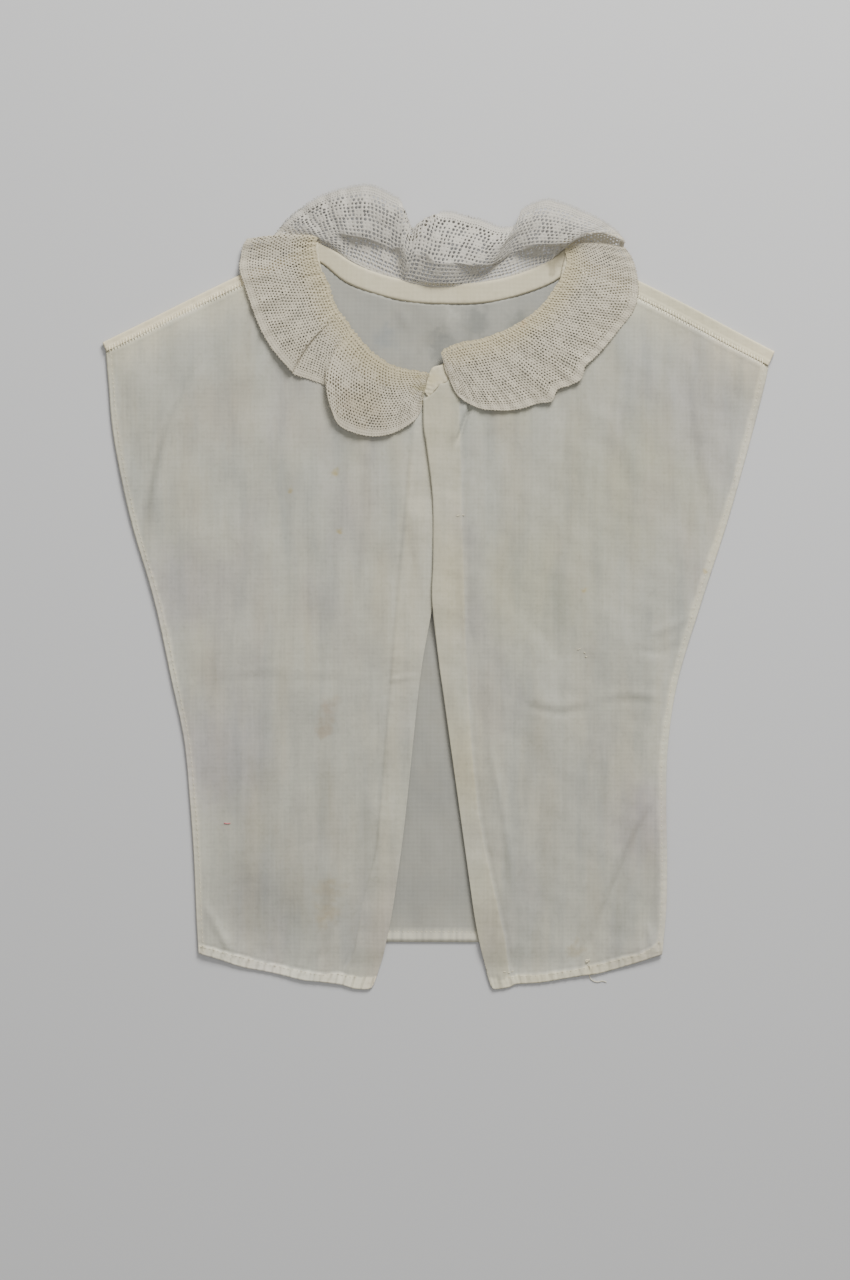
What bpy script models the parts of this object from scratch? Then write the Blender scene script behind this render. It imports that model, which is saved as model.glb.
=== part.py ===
# White cotton chemisette front with a gathered net-lace frill, laid flat with its fronts up.
# Lengths in the tables are millimetres: +X to the right, +Y to the neck, +Z up off the table.
import bpy
import bmesh
import math
from mathutils import Vector

MM = 0.001
CLOTH = 1.0
GAP = 0.35
NECK_GAP = 1.7
BACK_Z = 0.5
FRONT_Z = 2.3
FOLD_R = (FRONT_Z - BACK_Z) / 2
FOLD_REACH = FOLD_R + CLOTH / 2
CROSS_RISE = 1.9
CROSS_Y = -7.0
PLACKET_WIDTH = 19.0
PLACKET_RAISE = 0.4
BOTTOM_HEM = 6.5
SIDE_HEM = 3.5
HEM_RAISE = 0.4
BACK_HEM_RAISE = 0.3
DROOP_Y = -212.0
DROOP_LENGTH = 16.0
NECK_SHARE = 0.5
FRONT_COLUMNS = 14
FRONT_ROWS = 22
BACK_ROWS = 12
SHOULDER_COLUMNS = 6

# Outlines of the panels, as x, y
LEFT_FOLD = ((-201.5, 147.5), (-173.0, 161.5), (-146.0, 175.0), (-119.0, 188.0),
             (-101.0, 196.0), (-83.4, 202.8))
LEFT_SEAM_DEPTH = 6.0
LEFT_NECK_SEAM = (-83.2, 197.0)
RIGHT_FOLD = ((88.4, 197.3), (104.0, 191.5), (121.0, 184.0), (148.0, 170.5),
              (175.0, 156.0), (201.5, 142.0))
RIGHT_SEAM_DEPTH = 9.5
RIGHT_NECK_SEAM = (86.7, 188.6)

LEFT_SIDE = ((-143.5, -218.0), (-145.0, -199.0), (-146.5, -163.0), (-149.0, -127.0),
             (-152.5, -91.0), (-160.0, -55.0), (-170.5, -7.0), (-184.5, 41.0),
             (-194.5, 89.0), (-198.0, 125.0), (-199.0, 141.6))
RIGHT_SIDE = ((134.0, -217.0), (136.5, -193.0), (137.0, -163.0), (136.5, -127.0),
              (137.5, -94.0), (143.5, -55.0), (158.0, -7.0), (173.5, 41.0),
              (187.0, 89.0), (195.5, 122.0), (197.5, 132.6))
LEFT_HEM = ((-40.0, -240.5), (-53.5, -238.5), (-83.0, -233.5), (-104.5, -229.0),
            (-131.0, -221.5), (-143.5, -218.0))
RIGHT_HEM = ((31.0, -240.5), (42.5, -238.5), (60.5, -236.0), (92.5, -231.5),
             (110.0, -226.5), (126.5, -221.0), (134.0, -217.0))
LEFT_CENTRE = ((-40.0, -240.5), (-36.5, -229.0), (-32.0, -211.0), (-22.5, -145.0),
               (-13.0, -77.0), (-3.5, -10.0), (5.0, 53.0), (13.0, 111.5))
RIGHT_CENTRE = ((31.0, -240.5), (26.5, -223.0), (24.5, -211.0), (13.5, -136.0),
                (3.5, -66.5), (-4.0, -7.0), (-3.5, 17.0), (-3.5, 54.5),
                (-7.5, 89.5), (-9.5, 112.5))
BACK_LEFT_SIDE = ((-141.5, -207.5), (-143.0, -163.0), (-146.0, -127.0), (-150.0, -91.0),
                  (-157.5, -55.0), (-168.0, -7.0), (-182.0, 41.0), (-192.0, 89.0),
                  (-197.5, 125.0), (-201.5, 147.5))
BACK_RIGHT_SIDE = ((132.0, -207.5), (134.0, -163.0), (133.5, -127.0), (134.5, -94.0),
                   (140.5, -55.0), (155.0, -7.0), (170.5, 41.0), (184.0, 89.0),
                   (195.5, 125.0), (201.5, 142.0))
BACK_HEM = ((-141.5, -207.5), (-83.0, -211.0), (5.0, -212.0), (73.0, -210.5), (132.0, -207.5))

# Neckband edges, as x, y of the free edge and x, y of the seam edge
BAND_LEFT = ((9.0, 125.5, 8.0, 114.5), (-8.0, 127.5, -10.0, 115.5), (-26.0, 132.5, -31.0, 121.0),
             (-41.0, 139.5, -49.0, 130.5), (-52.0, 150.5, -62.0, 143.0),
             (-61.0, 166.0, -72.5, 161.5), (-67.0, 180.5, -78.5, 178.0),
             (-71.0, 195.5, -82.0, 193.5))
BAND_BACK = ((-63.5, 203.0, -68.0, 194.5), (-50.0, 194.5, -54.5, 184.0),
             (-32.0, 187.5, -34.5, 176.5), (-14.0, 184.0, -15.5, 172.5),
             (5.0, 182.5, 5.0, 171.5), (25.0, 183.5, 26.0, 172.0), (43.0, 187.0, 46.0, 176.0),
             (61.0, 193.5, 66.5, 183.5))
BAND_RIGHT = ((74.5, 192.5, 86.3, 188.6), (68.5, 182.0, 79.0, 176.0),
              (55.5, 169.0, 64.0, 160.5), (40.0, 158.5, 46.0, 148.0),
              (22.0, 150.5, 26.5, 139.5), (4.5, 142.0, 10.0, 131.5),
              (-2.5, 134.0, 5.0, 124.5), (-8.0, 126.5, -1.5, 118.0))
BAND_CORNER_LEFT = (-72.5, 208.5, -83.0, 203.0)
BAND_CORNER_RIGHT = (77.0, 203.5, 88.0, 197.5)

# Soft folds in the fronts, as x1, y1, x2, y2, half width, height
LEFT_FOLDS = ((-150.0, 130.0, -170.0, 55.0, 16.0, 1.6), (-66.0, 78.0, -72.0, 15.0, 18.0, 0.8),
              (-120.0, -45.0, -60.0, -48.0, 9.0, 0.5), (-115.0, -205.0, -100.0, -120.0, 14.0, 0.9),
              (-68.0, -205.0, -52.0, -140.0, 11.0, 0.8))
RIGHT_FOLDS = ((22.0, 105.0, 14.0, 60.0, 10.0, 0.9), (156.0, 135.0, 160.0, 62.0, 10.0, 1.3),
               (95.0, 95.0, 125.0, 40.0, 20.0, 1.0), (60.0, -68.0, 128.0, -67.0, 8.0, 0.9),
               (118.0, -130.0, 96.0, -205.0, 12.0, 1.2), (40.0, -30.0, 62.0, -190.0, 16.0, 0.6))

# Frill sections from the left front end round the back to the right front end, as
# neck x, y, edge x, y, bow of the middle, then the heights at neck, inner, outer and edge
FRILL = (
    (-9.0, 127.5, -11.5, 113.5, 0.0, 4.0, 4.0, 4.0, 4.0),
    (-23.0, 132.5, -17.5, 100.0, 0.0, 3.8, 3.9, 4.3, 4.6),
    (-31.0, 137.5, -25.5, 95.0, 0.0, 3.7, 4.0, 4.8, 4.8),
    (-40.0, 142.5, -38.0, 91.5, 0.0, 3.7, 4.3, 5.2, 4.8),
    (-46.5, 148.5, -52.0, 95.5, 0.0, 3.7, 4.6, 5.8, 5.6),
    (-51.5, 153.5, -59.0, 100.0, 3.5, 3.8, 4.8, 6.2, 6.4),
    (-53.5, 157.0, -62.5, 102.5, 7.5, 3.8, 4.9, 6.4, 6.6),
    (-55.5, 160.5, -67.5, 108.5, 8.5, 3.8, 4.4, 5.2, 5.2),
    (-57.0, 163.0, -73.0, 121.0, 8.0, 3.8, 3.9, 3.9, 3.9),
    (-59.0, 165.5, -81.0, 124.5, 4.5, 3.8, 3.8, 3.8, 3.8),
    (-60.5, 168.0, -87.0, 127.5, 4.5, 3.8, 4.0, 4.2, 4.2),
    (-61.5, 170.0, -90.0, 132.0, 5.5, 3.8, 4.7, 5.6, 5.4),
    (-62.5, 172.0, -97.5, 140.5, 0.0, 3.8, 4.6, 5.4, 5.0),
    (-64.5, 175.5, -105.0, 151.0, 0.0, 3.8, 4.1, 4.6, 4.6),
    (-67.0, 179.5, -111.5, 165.0, 0.0, 3.8, 3.9, 4.2, 4.4),
    (-70.5, 187.0, -117.5, 180.5, 0.0, 3.8, 3.9, 4.0, 4.2),
    (-72.0, 195.0, -119.5, 193.0, 0.0, 3.8, 4.0, 4.2, 4.2),
    (-72.5, 204.0, -118.0, 203.5, 0.0, 3.8, 4.2, 4.4, 4.2),
    (-74.0, 208.0, -116.0, 208.0, 0.0, 3.7, 4.0, 4.1, 3.9),
    (-75.0, 210.5, -110.5, 211.0, 0.0, 3.2, 2.9, 2.8, 3.0),
    (-75.5, 213.0, -101.0, 214.5, 0.0, 2.4, 1.7, 1.4, 1.6),
    (-74.5, 215.0, -94.0, 220.5, 0.0, 1.5, 1.0, 0.7, 0.7),
    (-71.5, 215.0, -84.5, 227.5, 0.0, 0.9, 1.2, 2.4, 0.7),
    (-66.0, 209.0, -71.5, 233.5, 0.0, 0.6, 2.0, 6.0, 3.0),
    (-56.5, 201.5, -61.0, 237.0, 0.0, 0.5, 1.6, 7.6, 4.6),
    (-47.5, 196.0, -45.0, 240.5, 0.0, 0.5, 1.2, 8.4, 5.4),
    (-38.5, 192.5, -31.0, 235.5, 0.0, 0.5, 1.6, 8.8, 6.4),
    (-33.0, 190.5, -24.5, 230.0, 0.0, 0.5, 2.6, 8.6, 6.6),
    (-29.5, 189.5, -19.5, 222.5, 0.0, 0.5, 3.8, 6.4, 3.6),
    (-24.5, 188.0, -16.5, 217.5, 0.0, 0.5, 6.0, 6.0, 1.4),
    (-15.5, 186.5, -11.5, 220.5, 0.0, 0.5, 8.6, 7.4, 1.0),
    (-6.0, 185.0, -3.5, 224.0, 0.0, 0.5, 9.6, 8.8, 1.8),
    (5.5, 184.5, 4.5, 226.0, 0.0, 0.5, 8.8, 7.8, 1.2),
    (18.0, 185.0, 20.0, 223.0, 0.0, 0.5, 5.6, 4.4, 0.6),
    (30.0, 186.5, 36.0, 218.5, 0.0, 0.5, 2.8, 1.4, 0.5),
    (38.0, 188.0, 45.0, 219.0, 0.0, 0.5, 3.0, 1.6, 0.8),
    (46.0, 190.0, 49.5, 225.5, 0.0, 0.5, 4.8, 6.0, 3.4),
    (54.0, 193.5, 55.5, 230.5, 0.0, 0.5, 5.6, 8.8, 6.0),
    (60.5, 196.0, 65.5, 232.0, 0.0, 0.5, 6.0, 9.4, 6.4),
    (66.0, 199.0, 84.5, 227.5, 0.0, 0.5, 6.6, 9.6, 6.2),
    (73.5, 204.0, 102.0, 217.5, 0.0, 1.0, 6.0, 9.6, 6.6),
    (78.7, 205.4, 113.0, 209.5, 0.0, 2.0, 5.0, 7.0, 5.0),
    (82.2, 203.4, 118.0, 201.5, 0.0, 3.0, 4.4, 4.6, 4.0),
    (80.5, 200.5, 120.0, 193.5, 0.0, 3.7, 4.2, 4.3, 4.2),
    (78.5, 197.0, 120.0, 186.0, 0.0, 3.8, 4.0, 4.3, 4.3),
    (74.5, 191.0, 118.0, 176.5, 0.0, 3.8, 4.0, 4.4, 4.4),
    (70.5, 184.0, 115.5, 167.0, 0.0, 3.8, 4.0, 4.6, 4.6),
    (65.0, 176.5, 110.5, 158.5, 0.0, 3.8, 4.0, 4.3, 4.2),
    (59.0, 171.0, 102.5, 149.5, 0.0, 3.8, 4.1, 4.6, 4.6),
    (53.0, 165.5, 94.5, 140.5, 0.0, 3.8, 4.0, 4.2, 4.4),
    (47.0, 160.5, 86.5, 131.0, 0.0, 3.8, 4.2, 4.8, 5.0),
    (41.0, 157.5, 72.0, 119.0, 0.0, 3.8, 4.6, 6.0, 6.4),
    (36.0, 155.0, 68.0, 114.0, 0.0, 3.8, 4.4, 5.2, 5.0),
    (28.0, 152.0, 54.0, 109.0, 0.0, 3.8, 4.2, 4.6, 4.8),
    (16.5, 147.5, 35.5, 107.5, 0.0, 3.9, 4.3, 4.4, 4.6),
    (8.0, 144.5, 22.0, 111.0, 0.0, 4.2, 4.3, 4.4, 4.6),
    (2.0, 142.0, 10.5, 115.5, -1.5, 4.3, 4.3, 4.4, 4.5),
)
FRILL_STEPS = 2
FRILL_ROWS = 8


for thing in list(bpy.data.objects):
    bpy.data.objects.remove(thing, do_unlink=True)


def smooth(share):
    share = max(0.0, min(1.0, share))
    return share * share * (3.0 - 2.0 * share)


def along(line, share):
    """Point at a share of a polyline's length."""
    lengths = [math.dist(a[:2], b[:2]) for a, b in zip(line, line[1:])]
    left = share * sum(lengths)
    for start, end, length in zip(line, line[1:], lengths):
        if left <= length or end is line[-1]:
            part = left / length
            return tuple(p + (q - p) * part for p, q in zip(start, end))
        left -= length


def x_at(line, y):
    """Where a rising edge line crosses a height y."""
    if y <= line[0][1]:
        return line[0][0]
    for (x1, y1), (x2, y2) in zip(line, line[1:]):
        if y <= y2:
            return x1 + (x2 - x1) * (y - y1) / (y2 - y1)
    return line[-1][0]


def crossing_rise(x, y):
    """How far the right front lies up where it crosses the left front's edge."""
    past = x - x_at(LEFT_CENTRE, y) - 2.0
    return CROSS_RISE * smooth(1.0 - past / 18.0) * smooth(1.0 + (y - CROSS_Y) / 30.0)


def fold_rise(folds, x, y):
    rise = 0.0
    for x1, y1, x2, y2, half, height in folds:
        length = math.hypot(x2 - x1, y2 - y1)
        ux, uy = (x2 - x1) / length, (y2 - y1) / length
        run = (x - x1) * ux + (y - y1) * uy
        off = (y - y1) * ux - (x - x1) * uy
        past = max(0.0, -run, run - length)
        rise += height * math.exp(-(off / half * 1.6) ** 2) * smooth(1.0 - past / 25.0)
    return rise


def wall(name, points, normals, outer, inner, faces, colour):
    """Closed cloth wall: a face grid carried out along its normals by outer and inner."""
    mesh = bpy.data.meshes.new(name)
    bm = bmesh.new()
    tops = []
    unders = []
    for point, normal, up, down in zip(points, normals, outer, inner):
        top = point + normal * up
        top.z = max(top.z, 0.0)
        tops.append(bm.verts.new(top * MM))
        under = point - normal * down
        under.z = max(under.z, 0.0)
        unders.append(bm.verts.new(under * MM))
    edges = {}
    for face in faces:
        bm.faces.new([tops[i] for i in face])
        bm.faces.new([unders[i] for i in reversed(face)])
        for a, b in zip(face, face[1:] + face[:1]):
            if (b, a) in edges:
                del edges[(b, a)]
            else:
                edges[(a, b)] = True
    for a, b in edges:
        bm.faces.new((tops[b], tops[a], unders[a], unders[b]))
    bmesh.ops.recalc_face_normals(bm, faces=bm.faces)
    bmesh.ops.triangulate(bm, faces=bm.faces, quad_method="SHORT_EDGE")
    bm.to_mesh(mesh)
    bm.free()
    material = bpy.data.materials.new(name + "_cotton")
    material.use_nodes = True
    shader = material.node_tree.nodes["Principled BSDF"]
    shader.inputs["Base Color"].default_value = colour + (1.0,)
    shader.inputs["Roughness"].default_value = 0.85
    shader.inputs["Metallic"].default_value = 0.0
    mesh.materials.append(material)
    piece = bpy.data.objects.new(name, mesh)
    bpy.context.collection.objects.link(piece)
    return piece


def shifted(line, distance):
    """A polyline moved sideways to its left by a distance."""
    moved = []
    for i, point in enumerate(line):
        before = line[max(i - 1, 0)]
        after = line[min(i + 1, len(line) - 1)]
        length = math.dist(before[:2], after[:2])
        dx, dy = (after[0] - before[0]) / length, (after[1] - before[1]) / length
        moved.append((point[0] - dy * distance, point[1] + dx * distance))
    return moved


def patch(bottom, top, left, right):
    """Surface point between four edges, for shares across and up."""
    def point(u, v):
        b, t, l, r = bottom(u), top(u), left(v), right(v)
        b0, b1, t0, t1 = bottom(0.0), bottom(1.0), top(0.0), top(1.0)
        return tuple((1 - v) * b[k] + v * t[k] + (1 - u) * l[k] + u * r[k]
                     - (1 - u) * (1 - v) * b0[k] - u * (1 - v) * b1[k]
                     - (1 - u) * v * t0[k] - u * v * t1[k] for k in (0, 1))
    return point


def grid_faces(columns, rows, start=0):
    faces = []
    for j in range(rows - 1):
        for i in range(columns - 1):
            a = start + j * columns + i
            faces.append([a, a + 1, a + columns + 1, a + columns])
    return faces


LEFT_SEAM = shifted(LEFT_FOLD, -LEFT_SEAM_DEPTH)[:-1] + [LEFT_NECK_SEAM]
RIGHT_SEAM = [RIGHT_NECK_SEAM] + shifted(RIGHT_FOLD, -RIGHT_SEAM_DEPTH)[1:]


# Fronts: each one panel with a wide placket at the centre and narrow turned hems
def front(name, centre, side, hem, neck, seam, folds, crosses):
    def top(u):
        if u <= NECK_SHARE:
            return along(neck, u / NECK_SHARE)
        return along(seam, (u - NECK_SHARE) / (1 - NECK_SHARE))

    surface = patch(lambda u: along(hem, u), top, lambda v: along(centre, v),
                    lambda v: along(side, v))
    columns = FRONT_COLUMNS + 6
    rows = FRONT_ROWS + 3
    points, outer = [], []
    for j in range(rows):
        for i in range(columns):
            share = max(0.0, min(1.0, (i - 2) / (columns - 5)))
            tall = math.dist(surface(share, 0.0), surface(share, 1.0))
            hem_top = (BOTTOM_HEM + 0.5) / tall
            stops = [0.0, BOTTOM_HEM / tall, hem_top]
            stops += [hem_top + (1 - hem_top) * k / FRONT_ROWS for k in range(1, FRONT_ROWS + 1)]
            v = stops[j]
            wide = sum(math.dist(surface(k / 8, v), surface((k + 1) / 8, v)) for k in range(8))
            placket = PLACKET_WIDTH / wide
            inside = placket + 0.5 / wide
            last = 1.0 - (SIDE_HEM + 0.5) / wide
            stops = [0.0, placket / 2, placket, inside]
            stops += [inside + (last - inside) * k / FRONT_COLUMNS
                      for k in range(1, FRONT_COLUMNS + 1)]
            stops += [1.0 - SIDE_HEM / wide, 1.0]
            x, y = surface(stops[i], v)
            edge_fade = smooth(min(i, columns - 1 - i) / 3) * smooth(min(j, rows - 1 - j) / 3)
            z = FRONT_Z + fold_rise(folds, x, y) * edge_fade
            if crosses:
                z += crossing_rise(x, y)
            z += (BACK_Z - FRONT_Z) * smooth((DROOP_Y - 5.0 - y) / DROOP_LENGTH)
            points.append(Vector((x, y, z)))
            raised = 0.0
            if j <= 1 or i >= columns - 2:
                raised = HEM_RAISE
            if i <= 2:
                raised = PLACKET_RAISE
            outer.append(CLOTH / 2 + raised)
    up = [Vector((0.0, 0.0, 1.0))] * len(points)
    inner = [CLOTH / 2] * len(points)
    return wall(name, points, up, outer, inner, grid_faces(columns, rows), (0.50, 0.48, 0.42))


left_neck = shifted([s[2:] for s in BAND_LEFT], NECK_GAP)
left_neck = [LEFT_CENTRE[-1]] + left_neck[1:] + [(-83.4, 196.3)]
left_shoulder = [left_neck[-1]] + shifted(LEFT_SEAM, -GAP)[-2:0:-1] + [LEFT_SIDE[-1]]
front("left_front", LEFT_CENTRE, LEFT_SIDE, LEFT_HEM, left_neck, left_shoulder,
      LEFT_FOLDS, False)
right_neck = shifted([s[2:] for s in reversed(BAND_RIGHT)], -NECK_GAP)
right_neck = [RIGHT_CENTRE[-1]] + right_neck[:-1] + [(86.6, 188.1)]
right_shoulder = [right_neck[-1]] + shifted(RIGHT_SEAM, -GAP)[1:-1] + [RIGHT_SIDE[-1]]
front("right_front", RIGHT_CENTRE, RIGHT_SIDE, RIGHT_HEM, right_neck, right_shoulder,
      RIGHT_FOLDS, True)


# Back: one panel under the fronts, turned forward over each shoulder to its seam
def fold_column(edge, seam, away):
    """Points and inner normals from the flat panel round the shoulder fold to the seam."""
    edge = Vector((edge[0], edge[1], 0.0))
    centre = edge - away * FOLD_REACH + Vector((0.0, 0.0, BACK_Z + FOLD_R))
    path = []
    for k in range(5):
        turn = math.pi * k / 4
        out = away * math.sin(turn) - Vector((0.0, 0.0, 1.0)) * math.cos(turn)
        path.append((centre + out * FOLD_R, -out))
    path.append((Vector((seam[0], seam[1], FRONT_Z)), Vector((0.0, 0.0, -1.0))))
    return path


def shoulder_columns(fold, seam, count):
    columns = []
    for k in range(count + 1):
        share = k / count
        edge = along(fold, share)
        ahead = along(fold, min(1.0, share + 0.02))
        behind = along(fold, max(0.0, share - 0.02))
        run = Vector((ahead[0] - behind[0], ahead[1] - behind[1], 0.0)).normalized()
        away = Vector((-run.y, run.x, 0.0))
        columns.append(fold_column(edge, along(seam, share), away))
    return columns


left_fold_columns = shoulder_columns(LEFT_FOLD, LEFT_SEAM, SHOULDER_COLUMNS)
right_fold_columns = shoulder_columns(RIGHT_FOLD, RIGHT_SEAM, SHOULDER_COLUMNS)
neck_edge = shifted([s[2:] for s in BAND_BACK], -GAP)
neck_edge = ([tuple(left_fold_columns[-1][0][0][:2])] + neck_edge
             + [tuple(right_fold_columns[0][0][0][:2])])
top_points = [tuple(c[0][0][:2]) for c in left_fold_columns]
for here, ahead in zip(neck_edge, neck_edge[1:]):
    if here is not neck_edge[0]:
        top_points.append(here)
    top_points.append(((here[0] + ahead[0]) / 2, (here[1] + ahead[1]) / 2))
top_points += [tuple(c[0][0][:2]) for c in right_fold_columns]
wide_top = top_points[-1][0] - top_points[0][0]
shares = [(p[0] - top_points[0][0]) / wide_top for p in top_points]


def top_of_back(u):
    for (a, p), (b, q) in zip(zip(shares, top_points), zip(shares[1:], top_points[1:])):
        if u <= b:
            part = (u - a) / (b - a)
            return (p[0] + (q[0] - p[0]) * part, p[1] + (q[1] - p[1]) * part)
    return top_points[-1]


back_surface = patch(lambda u: along(BACK_HEM, u), top_of_back,
                     lambda v: along(BACK_LEFT_SIDE[:-1] + (top_points[0],), v),
                     lambda v: along(BACK_RIGHT_SIDE[:-1] + (top_points[-1],), v))
hem_share = SIDE_HEM / wide_top
across = [0.0, hem_share, hem_share * 1.15] + shares[1:-1]
across += [1.0 - hem_share * 1.15, 1.0 - hem_share, 1.0]
up_shares = [0.0, 0.018, 0.0195] + [0.0195 + 0.9805 * k / BACK_ROWS for k in range(1, BACK_ROWS + 1)]
points, normals, outer, inner, faces = [], [], [], [], []
columns, rows = len(across), len(up_shares)
for j, v in enumerate(up_shares):
    for i, u in enumerate(across):
        x, y = back_surface(u, v)
        points.append(Vector((x, y, BACK_Z)))
        normals.append(Vector((0.0, 0.0, 1.0)))
        in_hem = j <= 1 or ((i <= 1 or i >= columns - 2) and j < rows - 1)
        outer.append(CLOTH / 2 + (BACK_HEM_RAISE if in_hem else 0.0))
        inner.append(CLOTH / 2)
faces += grid_faces(columns, rows)
top_row = (rows - 1) * columns
for fold_line, seam_line, first, last in ((LEFT_FOLD, LEFT_SEAM, 0, SHOULDER_COLUMNS + 2),
                                          (RIGHT_FOLD, RIGHT_SEAM,
                                           columns - SHOULDER_COLUMNS - 3, columns - 1)):
    before = [top_row + i for i in range(first, last + 1)]
    low, high = across[first], across[last]
    paths = []
    for i in range(first, last + 1):
        share = (across[i] - low) / (high - low)
        ahead = along(fold_line, min(1.0, share + 0.02))
        behind = along(fold_line, max(0.0, share - 0.02))
        run = Vector((ahead[0] - behind[0], ahead[1] - behind[1], 0.0)).normalized()
        away = Vector((-run.y, run.x, 0.0))
        paths.append(fold_column(along(fold_line, share), along(seam_line, share), away))
    for k in range(len(before)):
        points[before[k]] = paths[k][0][0]
    for step in range(1, 6):
        start = len(points)
        for path in paths:
            points.append(path[step][0])
            normals.append(path[step][1])
            outer.append(CLOTH / 2)
            inner.append(CLOTH / 2)
        now = list(range(start, len(points)))
        for k in range(len(now) - 1):
            faces.append([before[k], before[k + 1], now[k + 1], now[k]])
        before = now
wall("back_panel", points, normals, outer, inner, faces, (0.42, 0.41, 0.37))


# Neckband: one narrow strip sewn to the neck seams, folded over with each shoulder
def band_section(free, seam, z, normal):
    return [(Vector((free[0] + (seam[0] - free[0]) * k / 2,
                     free[1] + (seam[1] - free[1]) * k / 2, z)), normal) for k in range(3)]


def band_turn(corner, away):
    """Sections round a shoulder fold, from the front layer down to the back layer."""
    sections = []
    for k in range(5):
        turn = math.pi * k / 4
        out = away * math.sin(turn) + Vector((0.0, 0.0, 1.0)) * math.cos(turn)
        shift = out * FOLD_R - away * FOLD_REACH
        section = band_section(corner[:2], corner[2:], BACK_Z + FOLD_R, out)
        sections.append([(point + shift, normal) for point, normal in section])
    return sections


UP = Vector((0.0, 0.0, 1.0))
sections = []
for s in BAND_LEFT:
    sections.append(band_section(s[:2], s[2:], FRONT_Z, UP))
sections += band_turn(BAND_CORNER_LEFT, Vector((-0.464, 0.886, 0.0)))
for s in BAND_BACK:
    sections.append(band_section(s[:2], s[2:], BACK_Z, -UP))
sections += reversed(band_turn(BAND_CORNER_RIGHT, Vector((0.479, 0.878, 0.0))))
for s in BAND_RIGHT:
    section = band_section(s[:2], s[2:], FRONT_Z, UP)
    sections.append([(p + UP * crossing_rise(s[2], s[3]), n) for p, n in section])
points = [p for section in sections for p, n in section]
normals = [n for section in sections for p, n in section]
half = [CLOTH / 2] * len(points)
wall("neckband", points, normals, half, half, grid_faces(3, len(sections)),
     (0.54, 0.50, 0.42))


# Frill: one strip of net lace, gathered on the neckband's free edge and lying in waves
def spline(values, at):
    """Smooth curve through evenly spaced values."""
    i = min(int(at), len(values) - 2)
    t = at - i
    before = values[max(i - 1, 0)]
    a, b = values[i], values[i + 1]
    after = values[min(i + 2, len(values) - 1)]
    m0, m1 = (b - before) / 2, (after - a) / 2
    return ((2 * t ** 3 - 3 * t ** 2 + 1) * a + (t ** 3 - 2 * t ** 2 + t) * m0
            + (3 * t ** 2 - 2 * t ** 3) * b + (t ** 3 - t ** 2) * m1)


points = []
for k in range((len(FRILL) - 1) * FRILL_STEPS + 1):
    nx, ny, ex, ey, bow, *heights = [spline([row[c] for row in FRILL], k / FRILL_STEPS)
                                     for c in range(9)]
    length = math.hypot(ex - nx, ey - ny)
    side = Vector(((ey - ny) / length, -(ex - nx) / length, 0.0))
    for r in range(FRILL_ROWS + 1):
        share = r / FRILL_ROWS
        x = nx + (ex - nx) * share
        y = ny + (ey - ny) * share
        z = spline(heights, share * 3)
        shift = side * bow * 4 * share * (1 - share)
        rise = crossing_rise(x, y) if k > 41 * FRILL_STEPS else 0.0
        points.append(Vector((x, y, z + rise)) + shift)
rows = (len(FRILL) - 1) * FRILL_STEPS + 1
columns = FRILL_ROWS + 1
normals = []
for j in range(rows):
    for i in range(columns):
        run = points[min(j + 1, rows - 1) * columns + i] - points[max(j - 1, 0) * columns + i]
        reach = points[j * columns + min(i + 1, columns - 1)] - points[j * columns + max(i - 1, 0)]
        normals.append(run.cross(reach).normalized())
half = [CLOTH / 2] * len(points)
wall("lace_frill", points, normals, half, half, grid_faces(columns, rows), (0.46, 0.42, 0.36))
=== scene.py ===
import math

import bpy
import numpy as np
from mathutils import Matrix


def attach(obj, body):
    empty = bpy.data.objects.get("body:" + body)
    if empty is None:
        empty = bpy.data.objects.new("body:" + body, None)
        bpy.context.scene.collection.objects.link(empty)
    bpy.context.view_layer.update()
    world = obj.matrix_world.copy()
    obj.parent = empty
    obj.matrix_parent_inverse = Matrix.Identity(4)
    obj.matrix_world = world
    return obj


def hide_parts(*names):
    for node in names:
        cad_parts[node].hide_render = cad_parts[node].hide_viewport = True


# White cotton chemisette front with a gathered net-lace frill round the neck, laid flat.
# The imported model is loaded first. Lengths are in millimetres, except where a comment says metres.
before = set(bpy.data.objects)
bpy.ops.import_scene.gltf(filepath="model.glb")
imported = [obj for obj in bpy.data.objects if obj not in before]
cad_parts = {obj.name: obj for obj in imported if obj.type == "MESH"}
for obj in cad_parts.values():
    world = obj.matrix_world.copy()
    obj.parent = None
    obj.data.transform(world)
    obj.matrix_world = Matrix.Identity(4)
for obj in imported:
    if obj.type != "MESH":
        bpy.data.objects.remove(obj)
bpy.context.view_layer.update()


# Back panel. One piece of fine plain-woven cotton lies inside up on the table, under both fronts.
# Its edges are turned in narrow hems and stitched, and its neck edge is sewn into the neckband.
BACK_LEFT = ((-141.5, -207.5), (-143.0, -163.0), (-146.0, -127.0), (-150.0, -91.0), (-157.5, -55.0),
             (-168.0, -7.0), (-182.0, 41.0), (-192.0, 89.0), (-197.0, 125.0), (-200.3, 147.3))
BACK_RIGHT = ((132.0, -207.5), (134.0, -163.0), (133.5, -127.0), (134.5, -94.0), (140.5, -55.0),
              (155.0, -7.0), (170.5, 41.0), (184.0, 89.0), (194.5, 125.0), (200.3, 141.6))
BACK_HEM = ((-141.5, -207.5), (-83.0, -210.5), (-31.0, -211.8), (5.0, -212.0), (24.0, -212.0),
            (73.0, -210.5), (132.0, -207.5))
BACK_TOP = ((-200.3, 147.3), (-172.5, 160.0), (-145.5, 173.5), (-118.5, 186.5), (-100.5, 194.5),
            (-82.6, 201.4), (-68.2, 194.1), (-54.7, 183.6), (-34.6, 176.1), (-15.6, 172.1),
            (5.0, 171.1), (26.0, 171.6), (46.1, 175.6), (66.7, 183.1), (87.8, 196.0),
            (103.5, 190.0), (120.5, 182.5), (147.5, 169.0), (174.5, 154.5), (200.3, 141.6))
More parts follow.
